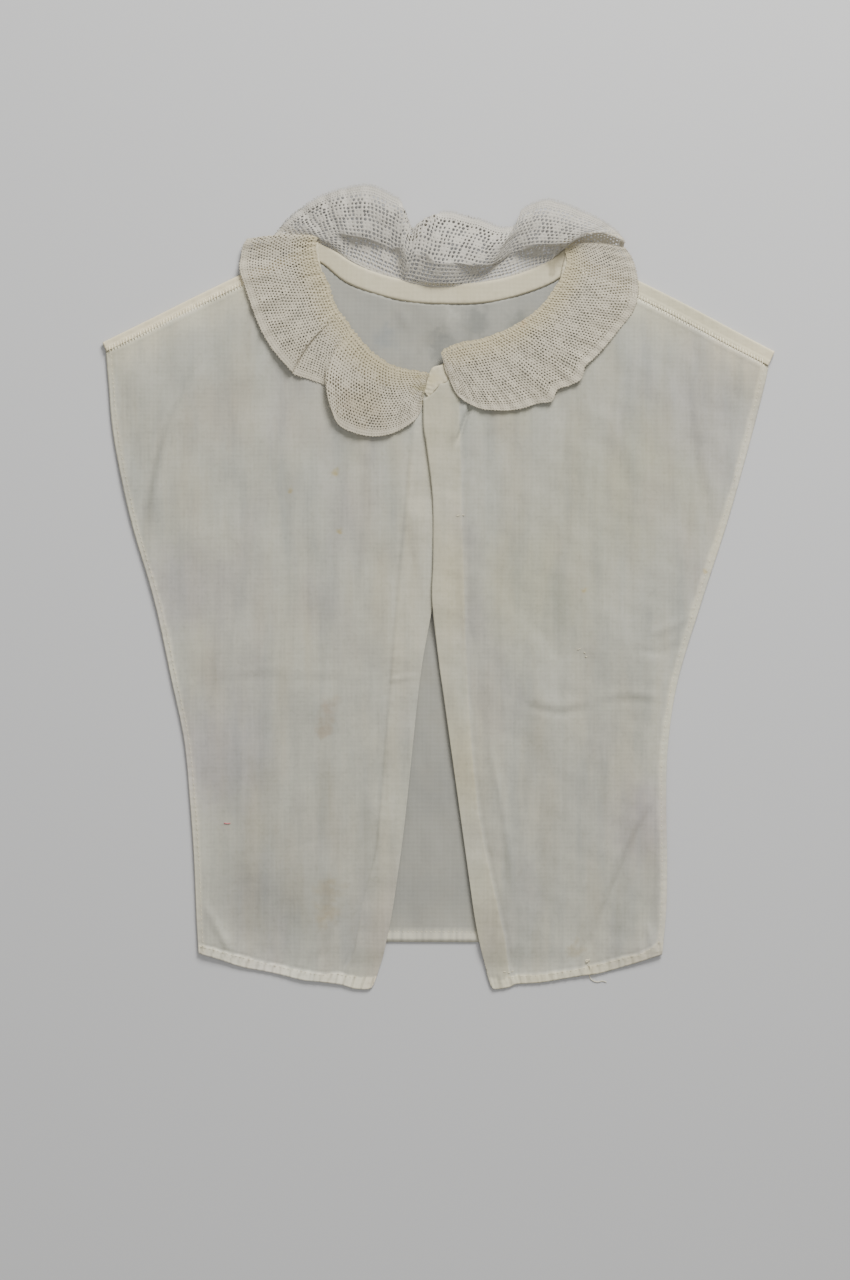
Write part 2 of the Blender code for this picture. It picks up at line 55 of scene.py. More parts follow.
BACK_FLOOR = 0.15
LAWN_THICK = 0.35
BACK_HEM_WIDE = 7.3
BACK_SIDE_HEM = 3.8
BACK_HEM_SOFT = 0.7
BACK_SIDE_SOFT = 0.6
HEM_RISE = 0.35
STITCH_ROW = 7.0
STITCH_GROOVE = 0.16
HEM_PUCKER = 0.12
# How much painted shade darkens the hem where its puckers dip.
HEM_PUCKER_PAINTED_SHADE = 0.45
DEEPEST_HOLLOW = 0.08
CALM_EDGE = 12
BACK_CREASE_DEPTH = 1.6
BACK_WAVES = ((45, 0.22), (16, 0.10))
BACK_COLUMNS = 150
BACK_ROWS = 170
# Puckers of a hem or seam: how close they come, and how much and how slowly that wanders.
BACK_PUCKERS = (2.1, 1.4, 0.21)
# A crease has three points that it runs through, a half width, and a height or a depth.
BACK_CREASES = (
    (-2.0, -140.0, -8.0, -170.0, -18.0, -205.0, 5.0, 0.35),
    (14.0, -150.0, 12.0, -175.0, 8.0, -208.0, 4.0, -0.25),
    (-45.0, 166.0, -20.0, 150.0, 10.0, 146.0, 8.0, -0.8),
    (4.0, 168.0, 5.0, 156.0, 2.0, 140.0, 3.0, 0.8),
    (-21.0, 168.0, -19.5, 155.0, -18.0, 136.0, 2.6, 0.7),
    (22.0, 166.0, 14.0, 152.0, 2.0, 138.0, 5.0, -0.9),
)
# The colour of single cloth seen over the table, and of the doubled cloth of the hems.
INSIDE_COTTON = (0.352, 0.346, 0.300)
INSIDE_HEM = (0.740, 0.700, 0.550)
# Cloudy tone: its size, its detail, the part of the noise that shows, its tint and strength, and
# for some how it is drawn out along the threads.
BACK_CLOUDS = (
    (70.0, 3.0, 0.42, 0.68, (0.83, 0.85, 0.89), 0.75),
    (18.0, 4.0, 0.5, 0.8, (0.97, 0.93, 0.87), 0.5),
    (11.0, 3.0, 0.46, 0.68, (0.93, 0.93, 0.94), 0.8, (1.0, 0.2, 1.0)),
    (5.0, 3.0, 0.5, 0.8, (0.92, 0.92, 0.93), 0.5))
# Painted shade and one painted highlight of the puckers behind the neck, and a broad faint darkening there:
# place across and up, how wide, tint and strength.
BACK_PAINTED_SHADING = (
    (-10.0, 160.0, 60.0, (0.93, 0.92, 0.89), 0.6), (1.0, 147.0, 32.0, (0.66, 0.68, 0.71), 0.9),
    (23.0, 160.0, 32.0, (0.68, 0.70, 0.72), 0.9), (47.0, 161.0, 24.0, (0.68, 0.70, 0.70), 0.9),
    (14.0, 146.0, 26.0, (0.86, 0.87, 0.90), 0.8), (-32.0, 150.0, 26.0, (0.82, 0.86, 0.94), 0.8),
    (8.5, 165.0, 12.0, (1.25, 1.25, 1.25), 0.9), (-24.0, 160.0, 14.0, (0.90, 0.91, 0.94), 0.8))
LINE_STEPS = 40
BEND_STEPS = 13
CREASE_FADE = 3.0
WAVES_EACH = 7
WAVE_TURN = 0.55
TINY = 1e-9


def lengths_along(line):
    """Distance from the start of a line to each of its points."""
    steps = np.linalg.norm(np.diff(line, axis=0), axis=1)
    return np.concatenate(([0], np.cumsum(steps)))


def points_at(line, at, run):
    """Places on a line at the given distances, where run is the distance to each of its points."""
    return np.stack([np.interp(at, run, line[:, k]) for k in range(line.shape[1])], axis=-1)


def smooth_step(start, leaving, stop, arriving, t):
    """The way from start to stop for a share t, with the slopes at its two ends."""
    return ((2 * t ** 3 - 3 * t ** 2 + 1) * start + (t ** 3 - 2 * t ** 2 + t) * leaving
            + (3 * t ** 2 - 2 * t ** 3) * stop + (t ** 3 - t ** 2) * arriving)


def thread_line(points, count):
    """Even steps along a smooth line drawn through a few points."""
    points = np.array(points, float)
    padded = np.vstack((2 * points[0] - points[1], points, 2 * points[-1] - points[-2]))
    share = np.linspace(0, 1, LINE_STEPS, endpoint=False)[:, None]
    dense = []
    for before, start, stop, after in zip(padded, padded[1:], padded[2:], padded[3:]):
        longest = 1.5 * np.linalg.norm(stop - start)
        slopes = [(stop - before) / 2, (after - start) / 2]
        for slope in slopes:
            slope *= min(1.0, longest / (np.linalg.norm(slope) + TINY))
        dense.append(smooth_step(start, slopes[0], stop, slopes[1], share))
    dense = np.vstack(dense + [points[-1:]])
    run = lengths_along(dense)
    return points_at(dense, np.linspace(0, run[-1], count), run)


def cut_cloth(bottom, top, left, right, up=None, over=None):
    """Points of a panel between its four cut edges, rows from the hem to the top."""
    up = np.linspace(0, 1, len(left)) if up is None else up
    over = np.linspace(0, 1, len(bottom)) if over is None else over
    v, u = up[:, None, None], over[None, :, None]
    return ((1 - v) * bottom[None] + v * top[None] + (1 - u) * left[:, None] + u * right[:, None]
            - (1 - u) * (1 - v) * bottom[0] - u * (1 - v) * bottom[-1]
            - (1 - u) * v * top[0] - u * v * top[-1])


def ease(share):
    """A share from 0 to 1 that starts and stops gently."""
    share = np.clip(share, 0, 1)
    return share * share * (3 - 2 * share)


def hump(value, at, wide):
    """One where a value is at its place, and less with distance on both sides."""
    return np.exp(-((value - at) / wide) ** 2)


def puckers(run, often, sway, slow, start=0.0):
    """The uneven rise and fall, from -1 to 1, that a hand-drawn thread leaves along a run."""
    return np.sin(run * often + sway * np.sin(run * slow + start))


def pressed(x, y, creases):
    """Height of soft creases, each along a bend through three points."""
    height = np.zeros_like(x)
    for x1, y1, x2, y2, x3, y3, half, rise in creases:
        line = thread_line(((x1, y1), (x2, y2), (x3, y3)), BEND_STEPS + 1)
        nearest = np.full(x.shape, 1e9)
        share = np.zeros_like(x)
        for i in range(BEND_STEPS):
            ax, ay = line[i]
            dx, dy = line[i + 1] - line[i]
            t = np.clip(((x - ax) * dx + (y - ay) * dy) / (dx * dx + dy * dy), 0, 1)
            off = np.hypot(x - ax - t * dx, y - ay - t * dy)
            nearer = off < nearest
            nearest = np.where(nearer, off, nearest)
            share = np.where(nearer, (i + t) / BEND_STEPS, share)
        fade = ease(share * CREASE_FADE + 0.25) * ease((1 - share) * CREASE_FADE + 0.25)
        height += rise * fade * np.exp(-(nearest / half) ** 2 * 1.4)
    return height


def rumple(x, y, seed, amounts):
    """Low uneven rise and fall of laid cloth, from a few crossing waves of each size."""
    draw = np.random.default_rng(seed)
    height = np.zeros_like(x)
    for length, rise in amounts:
        for _ in range(WAVES_EACH):
            turn = draw.normal(0.0, WAVE_TURN)
            wave = length * draw.uniform(0.7, 1.5)
            phase = draw.uniform(0, 2 * math.pi)
            height += rise / 2.6 * np.sin((x * math.cos(turn) + y * math.sin(turn))
                                          * 2 * math.pi / wave + phase)
    return height


def edge_runs(plan):
    """Distance of each point from the left, right and bottom cut edges."""
    across = np.linalg.norm(np.diff(plan, axis=1), axis=2)
    from_left = np.concatenate((np.zeros((len(plan), 1)), np.cumsum(across, axis=1)), axis=1)
    up = np.linalg.norm(np.diff(plan, axis=0), axis=2)
    from_hem = np.concatenate((np.zeros((1, plan.shape[1])), np.cumsum(up, axis=0)), axis=0)
    return from_left, from_left[:, -1:] - from_left, from_hem


def made_piece(name, points, faces, finish, doubled_and_painted_shading=None, creamy=None):
    """A piece from points in millimetres, with the layers of tone that its finish reads."""
    mesh = bpy.data.meshes.new(name)
    mesh.from_pydata((points * 0.001).tolist(), [], faces)
    mesh.shade_smooth()
    for layer_name, amount in (("doubled_and_painted_shading", doubled_and_painted_shading), ("creamy", creamy)):
        if amount is not None:
            layer = mesh.attributes.new(layer_name, "FLOAT", "POINT")
            layer.data.foreach_set("value", amount.astype(np.float32))
    mesh.materials.append(finish)
    piece = bpy.data.objects.new(name, mesh)
    bpy.context.collection.objects.link(piece)
    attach(piece, "root")
    return piece


def cloth_piece(name, grid, thick, finish, doubled_and_painted_shading=None, creamy=None):
    """Thin closed cloth under a grid of top points."""
    rows, columns = grid.shape[:2]
    out = np.cross(np.gradient(grid, axis=1), np.gradient(grid, axis=0))
    out /= np.linalg.norm(out, axis=2, keepdims=True) + 1e-12
    if out[..., 2].mean() < 0:
        out = -out
    under = grid - out * thick
    count = rows * columns
    index = np.arange(count).reshape(rows, columns)
    top = np.stack((index[:-1, :-1], index[:-1, 1:], index[1:, 1:], index[1:, :-1]), -1).reshape(-1, 4)
    rim = np.concatenate((index[0, :], index[1:, -1], index[-1, -2::-1], index[-2:0:-1, 0]))
    after = np.roll(rim, -1)
    side = np.stack((after, rim, rim + count, after + count), -1)
    if np.cross(grid[0, 1] - grid[0, 0], grid[1, 0] - grid[0, 0])[2] < 0:
        top, side = top[:, ::-1], side[:, ::-1]
    faces = np.concatenate((top, top[:, ::-1] + count, side))
    tones = [None if tone is None else np.tile(tone.reshape(-1), 2) for tone in (doubled_and_painted_shading, creamy)]
    return made_piece(name, np.concatenate((grid.reshape(-1, 3), under.reshape(-1, 3))),
                      faces.tolist(), finish, *tones)


CLOTH_ROUGHNESS = 0.88
CLOTH_GLOSS = 0.18
CLOTH_SHEEN = 0.12
SHEEN_ROUGHNESS = 0.5
CREAM = (1.0, 0.96, 0.85)
# Fine streaks along the warp and the weft: size, how they are drawn out, and tint.
THREAD_STREAKS = ((1.2, (1.0, 0.04, 1.0), (0.945, 0.945, 0.935)),
                  (0.9, (0.08, 1.0, 1.0), (0.99, 0.99, 0.985)))
MARK_SIZE_LIMIT = 16.0
MARK_RAGGED = 150.0
# The level of the marks over the table, in metres.
MARK_LEVEL = 0.0027
# The relief of the weave and of its thicker threads: strength, and depth in metres.
WEAVE_SCALE = 1000.0 / 8.4
WEAVE_BUMP = (0.25, 0.00008)
SLUB_SIZE = 7.0
SLUB_BUMP = (0.5, 0.0004)


def cotton_finish(name, single, double, clouds, marks_and_painted_shading, seed):
    """Matt plain-woven cotton: fine thread bump, cloudy tone, faint age marks with painted shade and light,
    brighter hems.
    """
    finish = bpy.data.materials.new(name)
    finish.use_nodes = True
    nodes, links = finish.node_tree.nodes, finish.node_tree.links
    shader = nodes["Principled BSDF"]
    shader.inputs["Roughness"].default_value = CLOTH_ROUGHNESS
    shader.inputs["Specular IOR Level"].default_value = CLOTH_GLOSS
    shader.inputs["Sheen Weight"].default_value = CLOTH_SHEEN
    shader.inputs["Sheen Roughness"].default_value = SHEEN_ROUGHNESS
    place = nodes.new("ShaderNodeTexCoord").outputs["Object"]

    def worked(kind, operation, *values, result=0):
        """A maths node whose inputs are given values or other nodes' results."""
        node = nodes.new(kind)
        node.operation = operation
        for socket, value in zip(node.inputs, values):
            if isinstance(value, (float, tuple)):
                socket.default_value = value
            else:
                links.new(value, socket)
        return node.outputs[result]

    def cloud(size, detail, low, high, drawn_out=(1.0, 1.0, 1.0)):
        """Soft noise of one size, spread to run from 0 to 1 between its low and high parts."""
        noise = nodes.new("ShaderNodeTexNoise")
        noise.noise_dimensions = "4D"
        noise.inputs["W"].default_value = seed
        noise.inputs["Scale"].default_value = 1000.0 / size
        noise.inputs["Detail"].default_value = detail
        stretched = worked("ShaderNodeVectorMath", "MULTIPLY", place, drawn_out)
        links.new(stretched, noise.inputs["Vector"])
        spread = nodes.new("ShaderNodeMapRange")
        spread.inputs["From Min"].default_value = low
        spread.inputs["From Max"].default_value = high
        links.new(noise.outputs["Fac"], spread.inputs["Value"])
        return spread.outputs["Result"]

    def tint(amount, under, over, way="MULTIPLY"):
        """One colour laid over another by an amount."""
        mix = nodes.new("ShaderNodeMix")
        mix.data_type = "RGBA"
        mix.blend_type = way
        links.new(amount, mix.inputs[0])
        for socket, value in ((mix.inputs[6], under), (mix.inputs[7], over)):
            if isinstance(value, tuple):
                socket.default_value = value + (1.0,)
            else:
                links.new(value, socket)
        return mix.outputs[2]

    def layer(layer_name):
        """A layer of tone that the piece's mesh carries."""
        node = nodes.new("ShaderNodeAttribute")
        node.attribute_name = layer_name
        return node.outputs["Fac"]

    # The doubled layer holds doubled cloth together with painted light and painted shade.
    tone = tint(layer("doubled_and_painted_shading"), single, double, "MIX")
    tone = tint(layer("creamy"), tone, CREAM)
    for size, drawn_out, shade in THREAD_STREAKS:
        tone = tint(cloud(size, 2.0, 0.35, 0.75, drawn_out), tone, shade)
    for size, detail, low, high, colour, strength, *drawn_out in clouds:
        amount = worked("ShaderNodeMath", "MULTIPLY", cloud(size, detail, low, high, *drawn_out), strength)
        tone = tint(amount, tone, colour)
    ragged = nodes.new("ShaderNodeTexNoise")
    ragged.inputs["Scale"].default_value = MARK_RAGGED
    ragged.inputs["Detail"].default_value = 3.0
    links.new(place, ragged.inputs["Vector"])
    # Each mark is a ragged soft spot of tint, some of them stains and some painted shade or painted light.
    for x, y, across, colour, strength in marks_and_painted_shading:
        push_x = min(across, MARK_SIZE_LIMIT) * 0.0008
        push_y = min(across, MARK_SIZE_LIMIT) * 0.0018
        pushed = worked("ShaderNodeVectorMath", "MULTIPLY_ADD", ragged.outputs["Color"],
                        (push_x, push_y, 0.0), place)
        middle = (x * 0.001 + push_x / 2, y * 0.001 + push_y / 2, MARK_LEVEL)
        gap = worked("ShaderNodeVectorMath", "DISTANCE", pushed, middle, result="Value")
        near = nodes.new("ShaderNodeMapRange")
        near.interpolation_type = "SMOOTHERSTEP"
        near.inputs["From Min"].default_value = across * 0.0005
        near.inputs["From Max"].default_value = 0.0
        near.inputs["To Max"].default_value = strength
        links.new(gap, near.inputs["Value"])
        tone = tint(near.outputs["Result"], tone, colour)
    links.new(tone, shader.inputs["Base Color"])
    threads = []
    for direction in ("X", "Y"):
        wave = nodes.new("ShaderNodeTexWave")
        wave.bands_direction = direction
        wave.inputs["Scale"].default_value = WEAVE_SCALE
        wave.inputs["Distortion"].default_value = 1.2
        wave.inputs["Detail"].default_value = 2.0
        wave.inputs["Detail Scale"].default_value = 0.6
        links.new(place, wave.inputs["Vector"])
        threads.append(wave.outputs["Fac"])
    weave = worked("ShaderNodeMath", "ADD", *threads)
    normal = None
    for height, (strength, depth) in ((weave, WEAVE_BUMP),
                                      (cloud(SLUB_SIZE, 5.0, 0.0, 1.0), SLUB_BUMP)):
        bump = nodes.new("ShaderNodeBump")
        bump.inputs["Strength"].default_value = strength
        bump.inputs["Distance"].default_value = depth
        links.new(height, bump.inputs["Height"])
        if normal is not None:
            links.new(normal, bump.inputs["Normal"])
        normal = bump.outputs["Normal"]
    links.new(normal, shader.inputs["Normal"])
    return finish


back_plan = cut_cloth(thread_line(BACK_HEM, BACK_COLUMNS), thread_line(BACK_TOP, BACK_COLUMNS),
                      thread_line(BACK_LEFT, BACK_ROWS), thread_line(BACK_RIGHT, BACK_ROWS))
from_left, from_right, from_hem = edge_runs(back_plan)
from_side = np.minimum(from_left, from_right)
x, y = back_plan[..., 0], back_plan[..., 1]
in_hem = np.maximum(ease((BACK_HEM_WIDE - from_hem) / BACK_HEM_SOFT),
                    ease((BACK_SIDE_HEM - from_side) / BACK_SIDE_SOFT))
calm = ease(np.minimum(from_side, from_hem) / CALM_EDGE - 0.1)
back_height = (BACK_CREASE_DEPTH * pressed(x, y, BACK_CREASES) * calm
               + rumple(x, y, seed=4, amounts=BACK_WAVES) * calm)
back_height = np.maximum(back_height, -DEEPEST_HOLLOW)
back_top = BACK_FLOOR + LAWN_THICK + DEEPEST_HOLLOW + back_height + in_hem * HEM_RISE
drawn = puckers(x, *BACK_PUCKERS) * (from_hem < BACK_HEM_WIDE + BACK_HEM_SOFT)
back_top += in_hem * HEM_PUCKER * drawn * ease(from_hem / 1.5)
back_top -= STITCH_GROOVE * hump(from_hem, STITCH_ROW, 0.6)
# Doubled hems, with painted shade where their puckers dip and painted light round the hem's top edge.
back_doubled_and_painted_shading = np.maximum(in_hem * (1 - HEM_PUCKER_PAINTED_SHADE * np.clip(-drawn, 0, 1)),
                          0.2 * hump(from_hem, BACK_HEM_WIDE, 14.0))
back_finish = cotton_finish("inside_cotton", INSIDE_COTTON, INSIDE_HEM, BACK_CLOUDS, BACK_PAINTED_SHADING,
                            seed=2.0)
back_panel = cloth_piece("back_panel_cloth", np.dstack((x, y, back_top)), LAWN_THICK,
                         back_finish, back_doubled_and_painted_shading)
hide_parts("back_panel")


# Shoulder turns. The back panel comes forward over each shoulder and is seamed to the front there,
# so a strip of it shows above the seam, whip-stitched by hand along the join.
LEFT_TURN = ((-201.5, 147.5), (-173.0, 161.5), (-146.0, 175.0), (-119.0, 188.0), (-101.0, 196.0),
             (-83.4, 202.8))
RIGHT_TURN = ((88.4, 197.3), (104.0, 191.5), (121.0, 184.0), (148.0, 170.5), (175.0, 156.0),
              (201.5, 142.0))
LEFT_JOIN = ((-199.0, 142.2), (-170.3, 156.1), (-143.4, 169.6), (-116.5, 182.5), (-98.7, 190.4),
             (-81.0, 197.2))
RIGHT_JOIN = ((85.0, 189.0), (100.5, 182.8), (117.0, 175.3), (143.6, 162.1), (170.3, 147.7),
              (197.6, 133.6))
FRONT_TOP = 2.5
TURN_COLUMNS = 150
TURN_STEPS = 9
STRIP_STEPS = 12
FOLD_BULGE = 1.2
STRIP_WAVE = 0.12
STRIP_RIPPLES = (0.55, 2.0, 0.083)
PAST_SEAM = 0.12
SEAM_WIDE = 3.2
SEAM_RISE = 0.30
SHOULDER_COTTON = (0.790, 0.702, 0.492)
SHOULDER_CLOUDS = ((40.0, 3.0, 0.45, 0.75, (0.92, 0.90, 0.86), 0.6),
                   (3.0, 3.0, 0.5, 0.85, (0.90, 0.89, 0.87), 0.6))
SHOULDER_MARKS = ((145.0, 168.0, 190.0, (0.78, 0.81, 0.81), 1.0),)


def shoulder_turn(name, fold, join):
    """The strip from the back's edge round the fold and forward to the seam."""
    fold_line, join_line = thread_line(fold, TURN_COLUMNS), thread_line(join, TURN_COLUMNS)
    low, high = BACK_FLOOR + LAWN_THICK, FRONT_TOP
    radius = (high - low) / 2
    toward = join_line - fold_line
    reach = np.linalg.norm(toward, axis=1, keepdims=True)
    toward = toward / reach
    rows = []
    for turn in np.pi * np.arange(TURN_STEPS) / (TURN_STEPS - 1):
        place = fold_line + toward * radius * FOLD_BULGE * (1 - math.sin(turn))
        level = np.full(len(place), low + radius * (1 - math.cos(turn)))
        rows.append(np.column_stack((place, level)))
    start = rows[-1][:, :2]
    for share in np.arange(1, STRIP_STEPS + 1) / STRIP_STEPS:
        place = start + (join_line + toward * PAST_SEAM - start) * share
        run = np.linalg.norm(place - place[0], axis=1)
        lift = STRIP_WAVE * puckers(run, *STRIP_RIPPLES) * math.sin(math.pi * share)
        seam = SEAM_RISE * (reach[:, 0] * (1 - share) < SEAM_WIDE)
        rows.append(np.column_stack((place, high + lift + seam)))
    grid = np.array(rows)
    return cloth_piece(name, grid, LAWN_THICK, turn_finish, np.zeros(grid.shape[:2]))


turn_finish = cotton_finish("shoulder_cotton", SHOULDER_COTTON, SHOULDER_COTTON, SHOULDER_CLOUDS,
                            SHOULDER_MARKS, seed=5.0)
shoulder_turns = []
for name, fold, join, cut, front in (
        ("left_shoulder_turn", LEFT_TURN, LEFT_JOIN, (0.131, 0.012), "left_front"),
        ("right_shoulder_turn", RIGHT_TURN, RIGHT_JOIN, (0.126, 0.015), "right_front")):
    turned = shoulder_turn(name, fold, join)
    shoulder_turns.append(turned)
    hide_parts("back_panel")


# Fronts. Each is one panel of the same cotton, with a wide doubled placket down the centre edge
# and narrow turned hems at the side and bottom, soft from washing and creased from storage.
LEFT_SIDE = ((-143.7, -218.7), (-145.0, -199.0), (-146.5, -163.0), (-149.0, -127.0), (-152.5, -91.0),
             (-160.0, -55.0), (-170.5, -7.0), (-184.5, 41.0), (-194.5, 89.0), (-198.0, 125.0),
             (-199.3, 141.9))
LEFT_HEM = ((-38.7, -236.0), (-41.2, -240.0), (-50.1, -240.0), (-58.5, -237.6), (-71.1, -235.9),
            (-81.3, -234.9), (-98.7, -230.7), (-117.3, -227.1), (-129.9, -222.9), (-143.7, -218.7))
LEFT_CENTRE = ((-38.7, -236.0), (-34.1, -223.5), (-31.1, -210.9), (-28.1, -195.9), (-24.9, -174.9),
               (-20.1, -138.9), (-11.1, -54.9), (-3.3, -8.1), (5.0, 53.0), (13.0, 115.5))
LEFT_NECK = ((13.0, 115.5), (-10.2, 118.0), (-30.6, 122.5), (-48.2, 131.8), (-61.0, 144.0),
             (-71.5, 161.8), (-78.0, 177.0), (-84.0, 188.5), (-91.0, 194.0))
LEFT_HEM_LINE = ((-144.0, -213.3), (-125.7, -218.1), (-110.7, -222.3), (-90.3, -227.1), (-71.1, -230.7),
                 (-60.9, -230.1), (-56.7, -231.3), (-47.7, -232.5), (-38.0, -233.0))
LEFT_PLACKET = ((-58.0, -241.0), (-56.1, -228.9), (-50.9, -218.7), (-48.9, -208.5), (-45.9, -191.7),
                (-42.5, -176.7), (-36.9, -153.9), (-29.1, -60.9), (-21.9, 22.5), (-15.9, 89.1),
                (-13.5, 118.0))
LEFT_CREASES = (
    (-145.0, 140.0, -166.0, 80.0, -165.0, -15.0, 10.0, 0.6),
    (-140.0, -50.0, -95.0, -49.0, -41.0, -52.0, 4.2, 0.12),
    (-140.0, -55.0, -95.0, -54.0, -41.0, -57.0, 3.6, -0.08),
    (-30.0, -55.0, -20.0, -53.5, -10.0, -52.0, 1.8, 0.4),
    (-142.0, -187.0, -133.0, -202.0, -125.0, -217.0, 3.0, 0.5),
    (-66.0, -196.0, -73.0, -212.0, -78.0, -226.0, 2.6, 0.4),
    (-122.0, 119.0, -126.0, 98.0, -128.0, 77.0, 5.0, -0.4),
    (-95.0, 95.0, -103.0, 65.0, -110.0, 35.0, 7.0, 0.35),
    (-17.0, 53.0, -15.0, 32.0, -12.0, 11.0, 3.0, 0.3),
    (-58.5, -196.3, -66.3, -212.7, -71.1, -225.3, 1.6, -0.4),
    (-147.0, 136.0, -166.0, 94.0, -179.0, 36.0, 3.0, -0.55),
    (-141.5, 134.0, -160.5, 92.0, -173.5, 34.0, 4.2, 0.62),
)
RIGHT_SIDE = ((134.1, -219.3), (136.5, -193.0), (137.0, -163.0), (136.5, -127.0), (137.5, -94.0),
              (143.5, -55.0), (158.0, -7.0), (173.5, 41.0), (187.0, 89.0), (195.5, 122.0),
              (197.8, 133.0))
RIGHT_HEM = ((31.2, -235.5), (33.0, -240.2), (42.3, -239.1), (46.5, -237.3), (60.9, -236.3),
             (84.3, -232.5), (96.9, -230.7), (117.9, -224.7), (134.1, -219.3))
RIGHT_CENTRE = ((31.2, -235.5), (27.8, -225.3), (24.5, -211.9), (21.5, -195.9), (18.5, -174.9),
                (3.3, -66.3), (-0.3, -40.5), (-3.9, -6.9), (-3.3, 17.1), (-3.6, 54.3), (-7.5, 86.7),
                (-9.0, 96.3), (-9.3, 113.4))
RIGHT_NECK = ((-9.3, 113.4), (-6.4, 114.9), (-3.4, 117.0), (-0.8, 119.8), (1.0, 122.6), (4.5, 123.3),
              (8.5, 127.5), (25.4, 140.4), (45.4, 149.0), (63.0, 161.4), (78.0, 176.6), (85.0, 188.6))
RIGHT_HEM_LINE = ((30.0, -233.7), (38.1, -234.3), (43.5, -232.1), (60.9, -231.1), (86.7, -227.1),
                  (105.3, -222.3), (121.5, -218.1), (130.5, -212.9), (136.0, -212.0))
RIGHT_PLACKET = ((44.0, -241.0), (41.7, -225.3), (39.9, -210.9), (35.7, -191.7), (23.4, -129.9),
                 (17.4, -54.9), (14.4, 35.1), (12.9, 95.1), (12.5, 125.0))
RIGHT_CREASES = (
    (52.0, -70.5, 72.0, -75.0, 90.0, -71.5, 2.6, -0.28),
    (94.0, -70.0, 113.0, -67.5, 134.0, -69.0, 2.8, -0.17),
    (52.0, -65.5, 72.0, -70.0, 90.0, -66.5, 3.6, 0.26),
    (94.0, -65.2, 113.0, -62.8, 134.0, -64.2, 3.2, 0.2),
    (116.0, -37.0, 133.0, -38.0, 151.0, -32.0, 2.6, -0.3),
    (124.0, -28.0, 138.0, -23.0, 156.0, -15.0, 3.0, 0.32),
    (151.0, 143.0, 155.0, 110.0, 163.0, 53.0, 4.2, 0.55),
    (145.0, 143.0, 149.0, 110.0, 157.0, 53.0, 4.8, -0.3),
    (130.5, -124.0, 109.5, -169.0, 91.5, -214.0, 2.8, -0.58),
    (125.5, -124.0, 104.0, -169.0, 86.0, -214.0, 4.2, 0.56),
    (91.0, 116.0, 115.0, 77.0, 127.0, 53.0, 9.0, 0.36),
    (49.0, -13.0, 64.0, -31.0, 79.0, -49.0, 5.0, -0.26),
    (31.0, -94.0, 40.0, -139.0, 46.0, -187.0, 3.0, 0.45),
    (64.0, -175.0, 58.0, -200.0, 55.0, -223.0, 3.0, -0.35),
    (124.0, -199.0, 127.0, -208.0, 130.0, -217.0, 2.5, 0.4),
    (109.0, 134.0, 101.0, 119.0, 94.0, 104.0, 3.0, -0.35),
    (20.8, 113.5, 17.4, 105.0, 10.9, 86.4, 1.1, -1.4),
    (17.0, 112.0, 13.5, 103.0, 8.0, 86.4, 2.6, 0.5),
)
# How each front is made up, and how far painted light brightens it along its shoulder and its side: the way
# from its placket to its side, whether it laps over the other, the width of its side hem, the depth of the
# groove beside its placket, and its tones.
LEFT_MAKE = {
    "seed": 3, "outward": -1, "laps": False, "side_hem": 4.2, "side_patch": 0.16, "hem_tone": 1.04,
    "shoulder_reach": 15.0, "side_reach": 9.5, "shoulder_painted_light": 0.31, "side_painted_light": 0.18,
    "side_painted_light_from": -1000.0, "groove": 0.42, "placket_cream": 0.35, "hem_cream": 0.5}
RIGHT_MAKE = {
    "seed": 8, "outward": 1, "laps": True, "side_hem": 4.7, "side_patch": 0.0, "hem_tone": 0.64,
    "shoulder_reach": 19.0, "side_reach": 14.0, "shoulder_painted_light": 0.20, "side_painted_light": 0.11,
    "side_painted_light_from": -170.0, "groove": 0.28, "placket_cream": 1.0, "hem_cream": 0.95}
FRONT_THICK = 0.4
FRONT_CREASE_DEPTH = 1.9
FRONT_WAVES = ((62, 0.55), (26, 0.22), (10, 0.08))
# The spacing of a front's columns from its centre edge, close over the placket and the side hem, and
# of its rows, close over the bottom hem.
FRONT_WIDE = 160.0
FRONT_TALL = 420.0
ACROSS_STEPS = ((0.0, 34.0, 0.75), (34.0, 154.0, 1.75), (154.5, 160.1, 0.7))
HEM_ZONE = 10.0
HEM_STEP = 0.8
ROWS_ABOVE = 222
FINE_EDGE = 900
LINE_LEVELS = 160
DOUBLED_RISE = 0.42
SEAM_IN_FRONT = 3.0
PLACKET_SOFT = 0.9
HEM_SOFT = 1.5
SIDE_HEM_SOFT = 2.6
SEAM_SOFT = 0.8
PLACKET_TONE = 0.10
SIDE_TONE = 0.47
SIDE_PATCH_AT = -43.0
SEAM_TONE = 0.55
ABOVE_HEM_TONE = 0.24
HEM_GATHERS = (1.15, 1.7, 0.13)
FINE_GATHERS = (2.35, 2.1, 0.17)
SIDE_GATHERS = (1.15, 2.0, 0.13)
SIDE_RIPPLES = (1.3, 1.9, 0.17)
PLACKET_RIPPLES = (0.9, 1.3, 0.11)
LAP_RISE = 1.5
LAP_FADE = 16.0
LAP_BOTTOM = -7.0
LACE_COVERS = 58.0
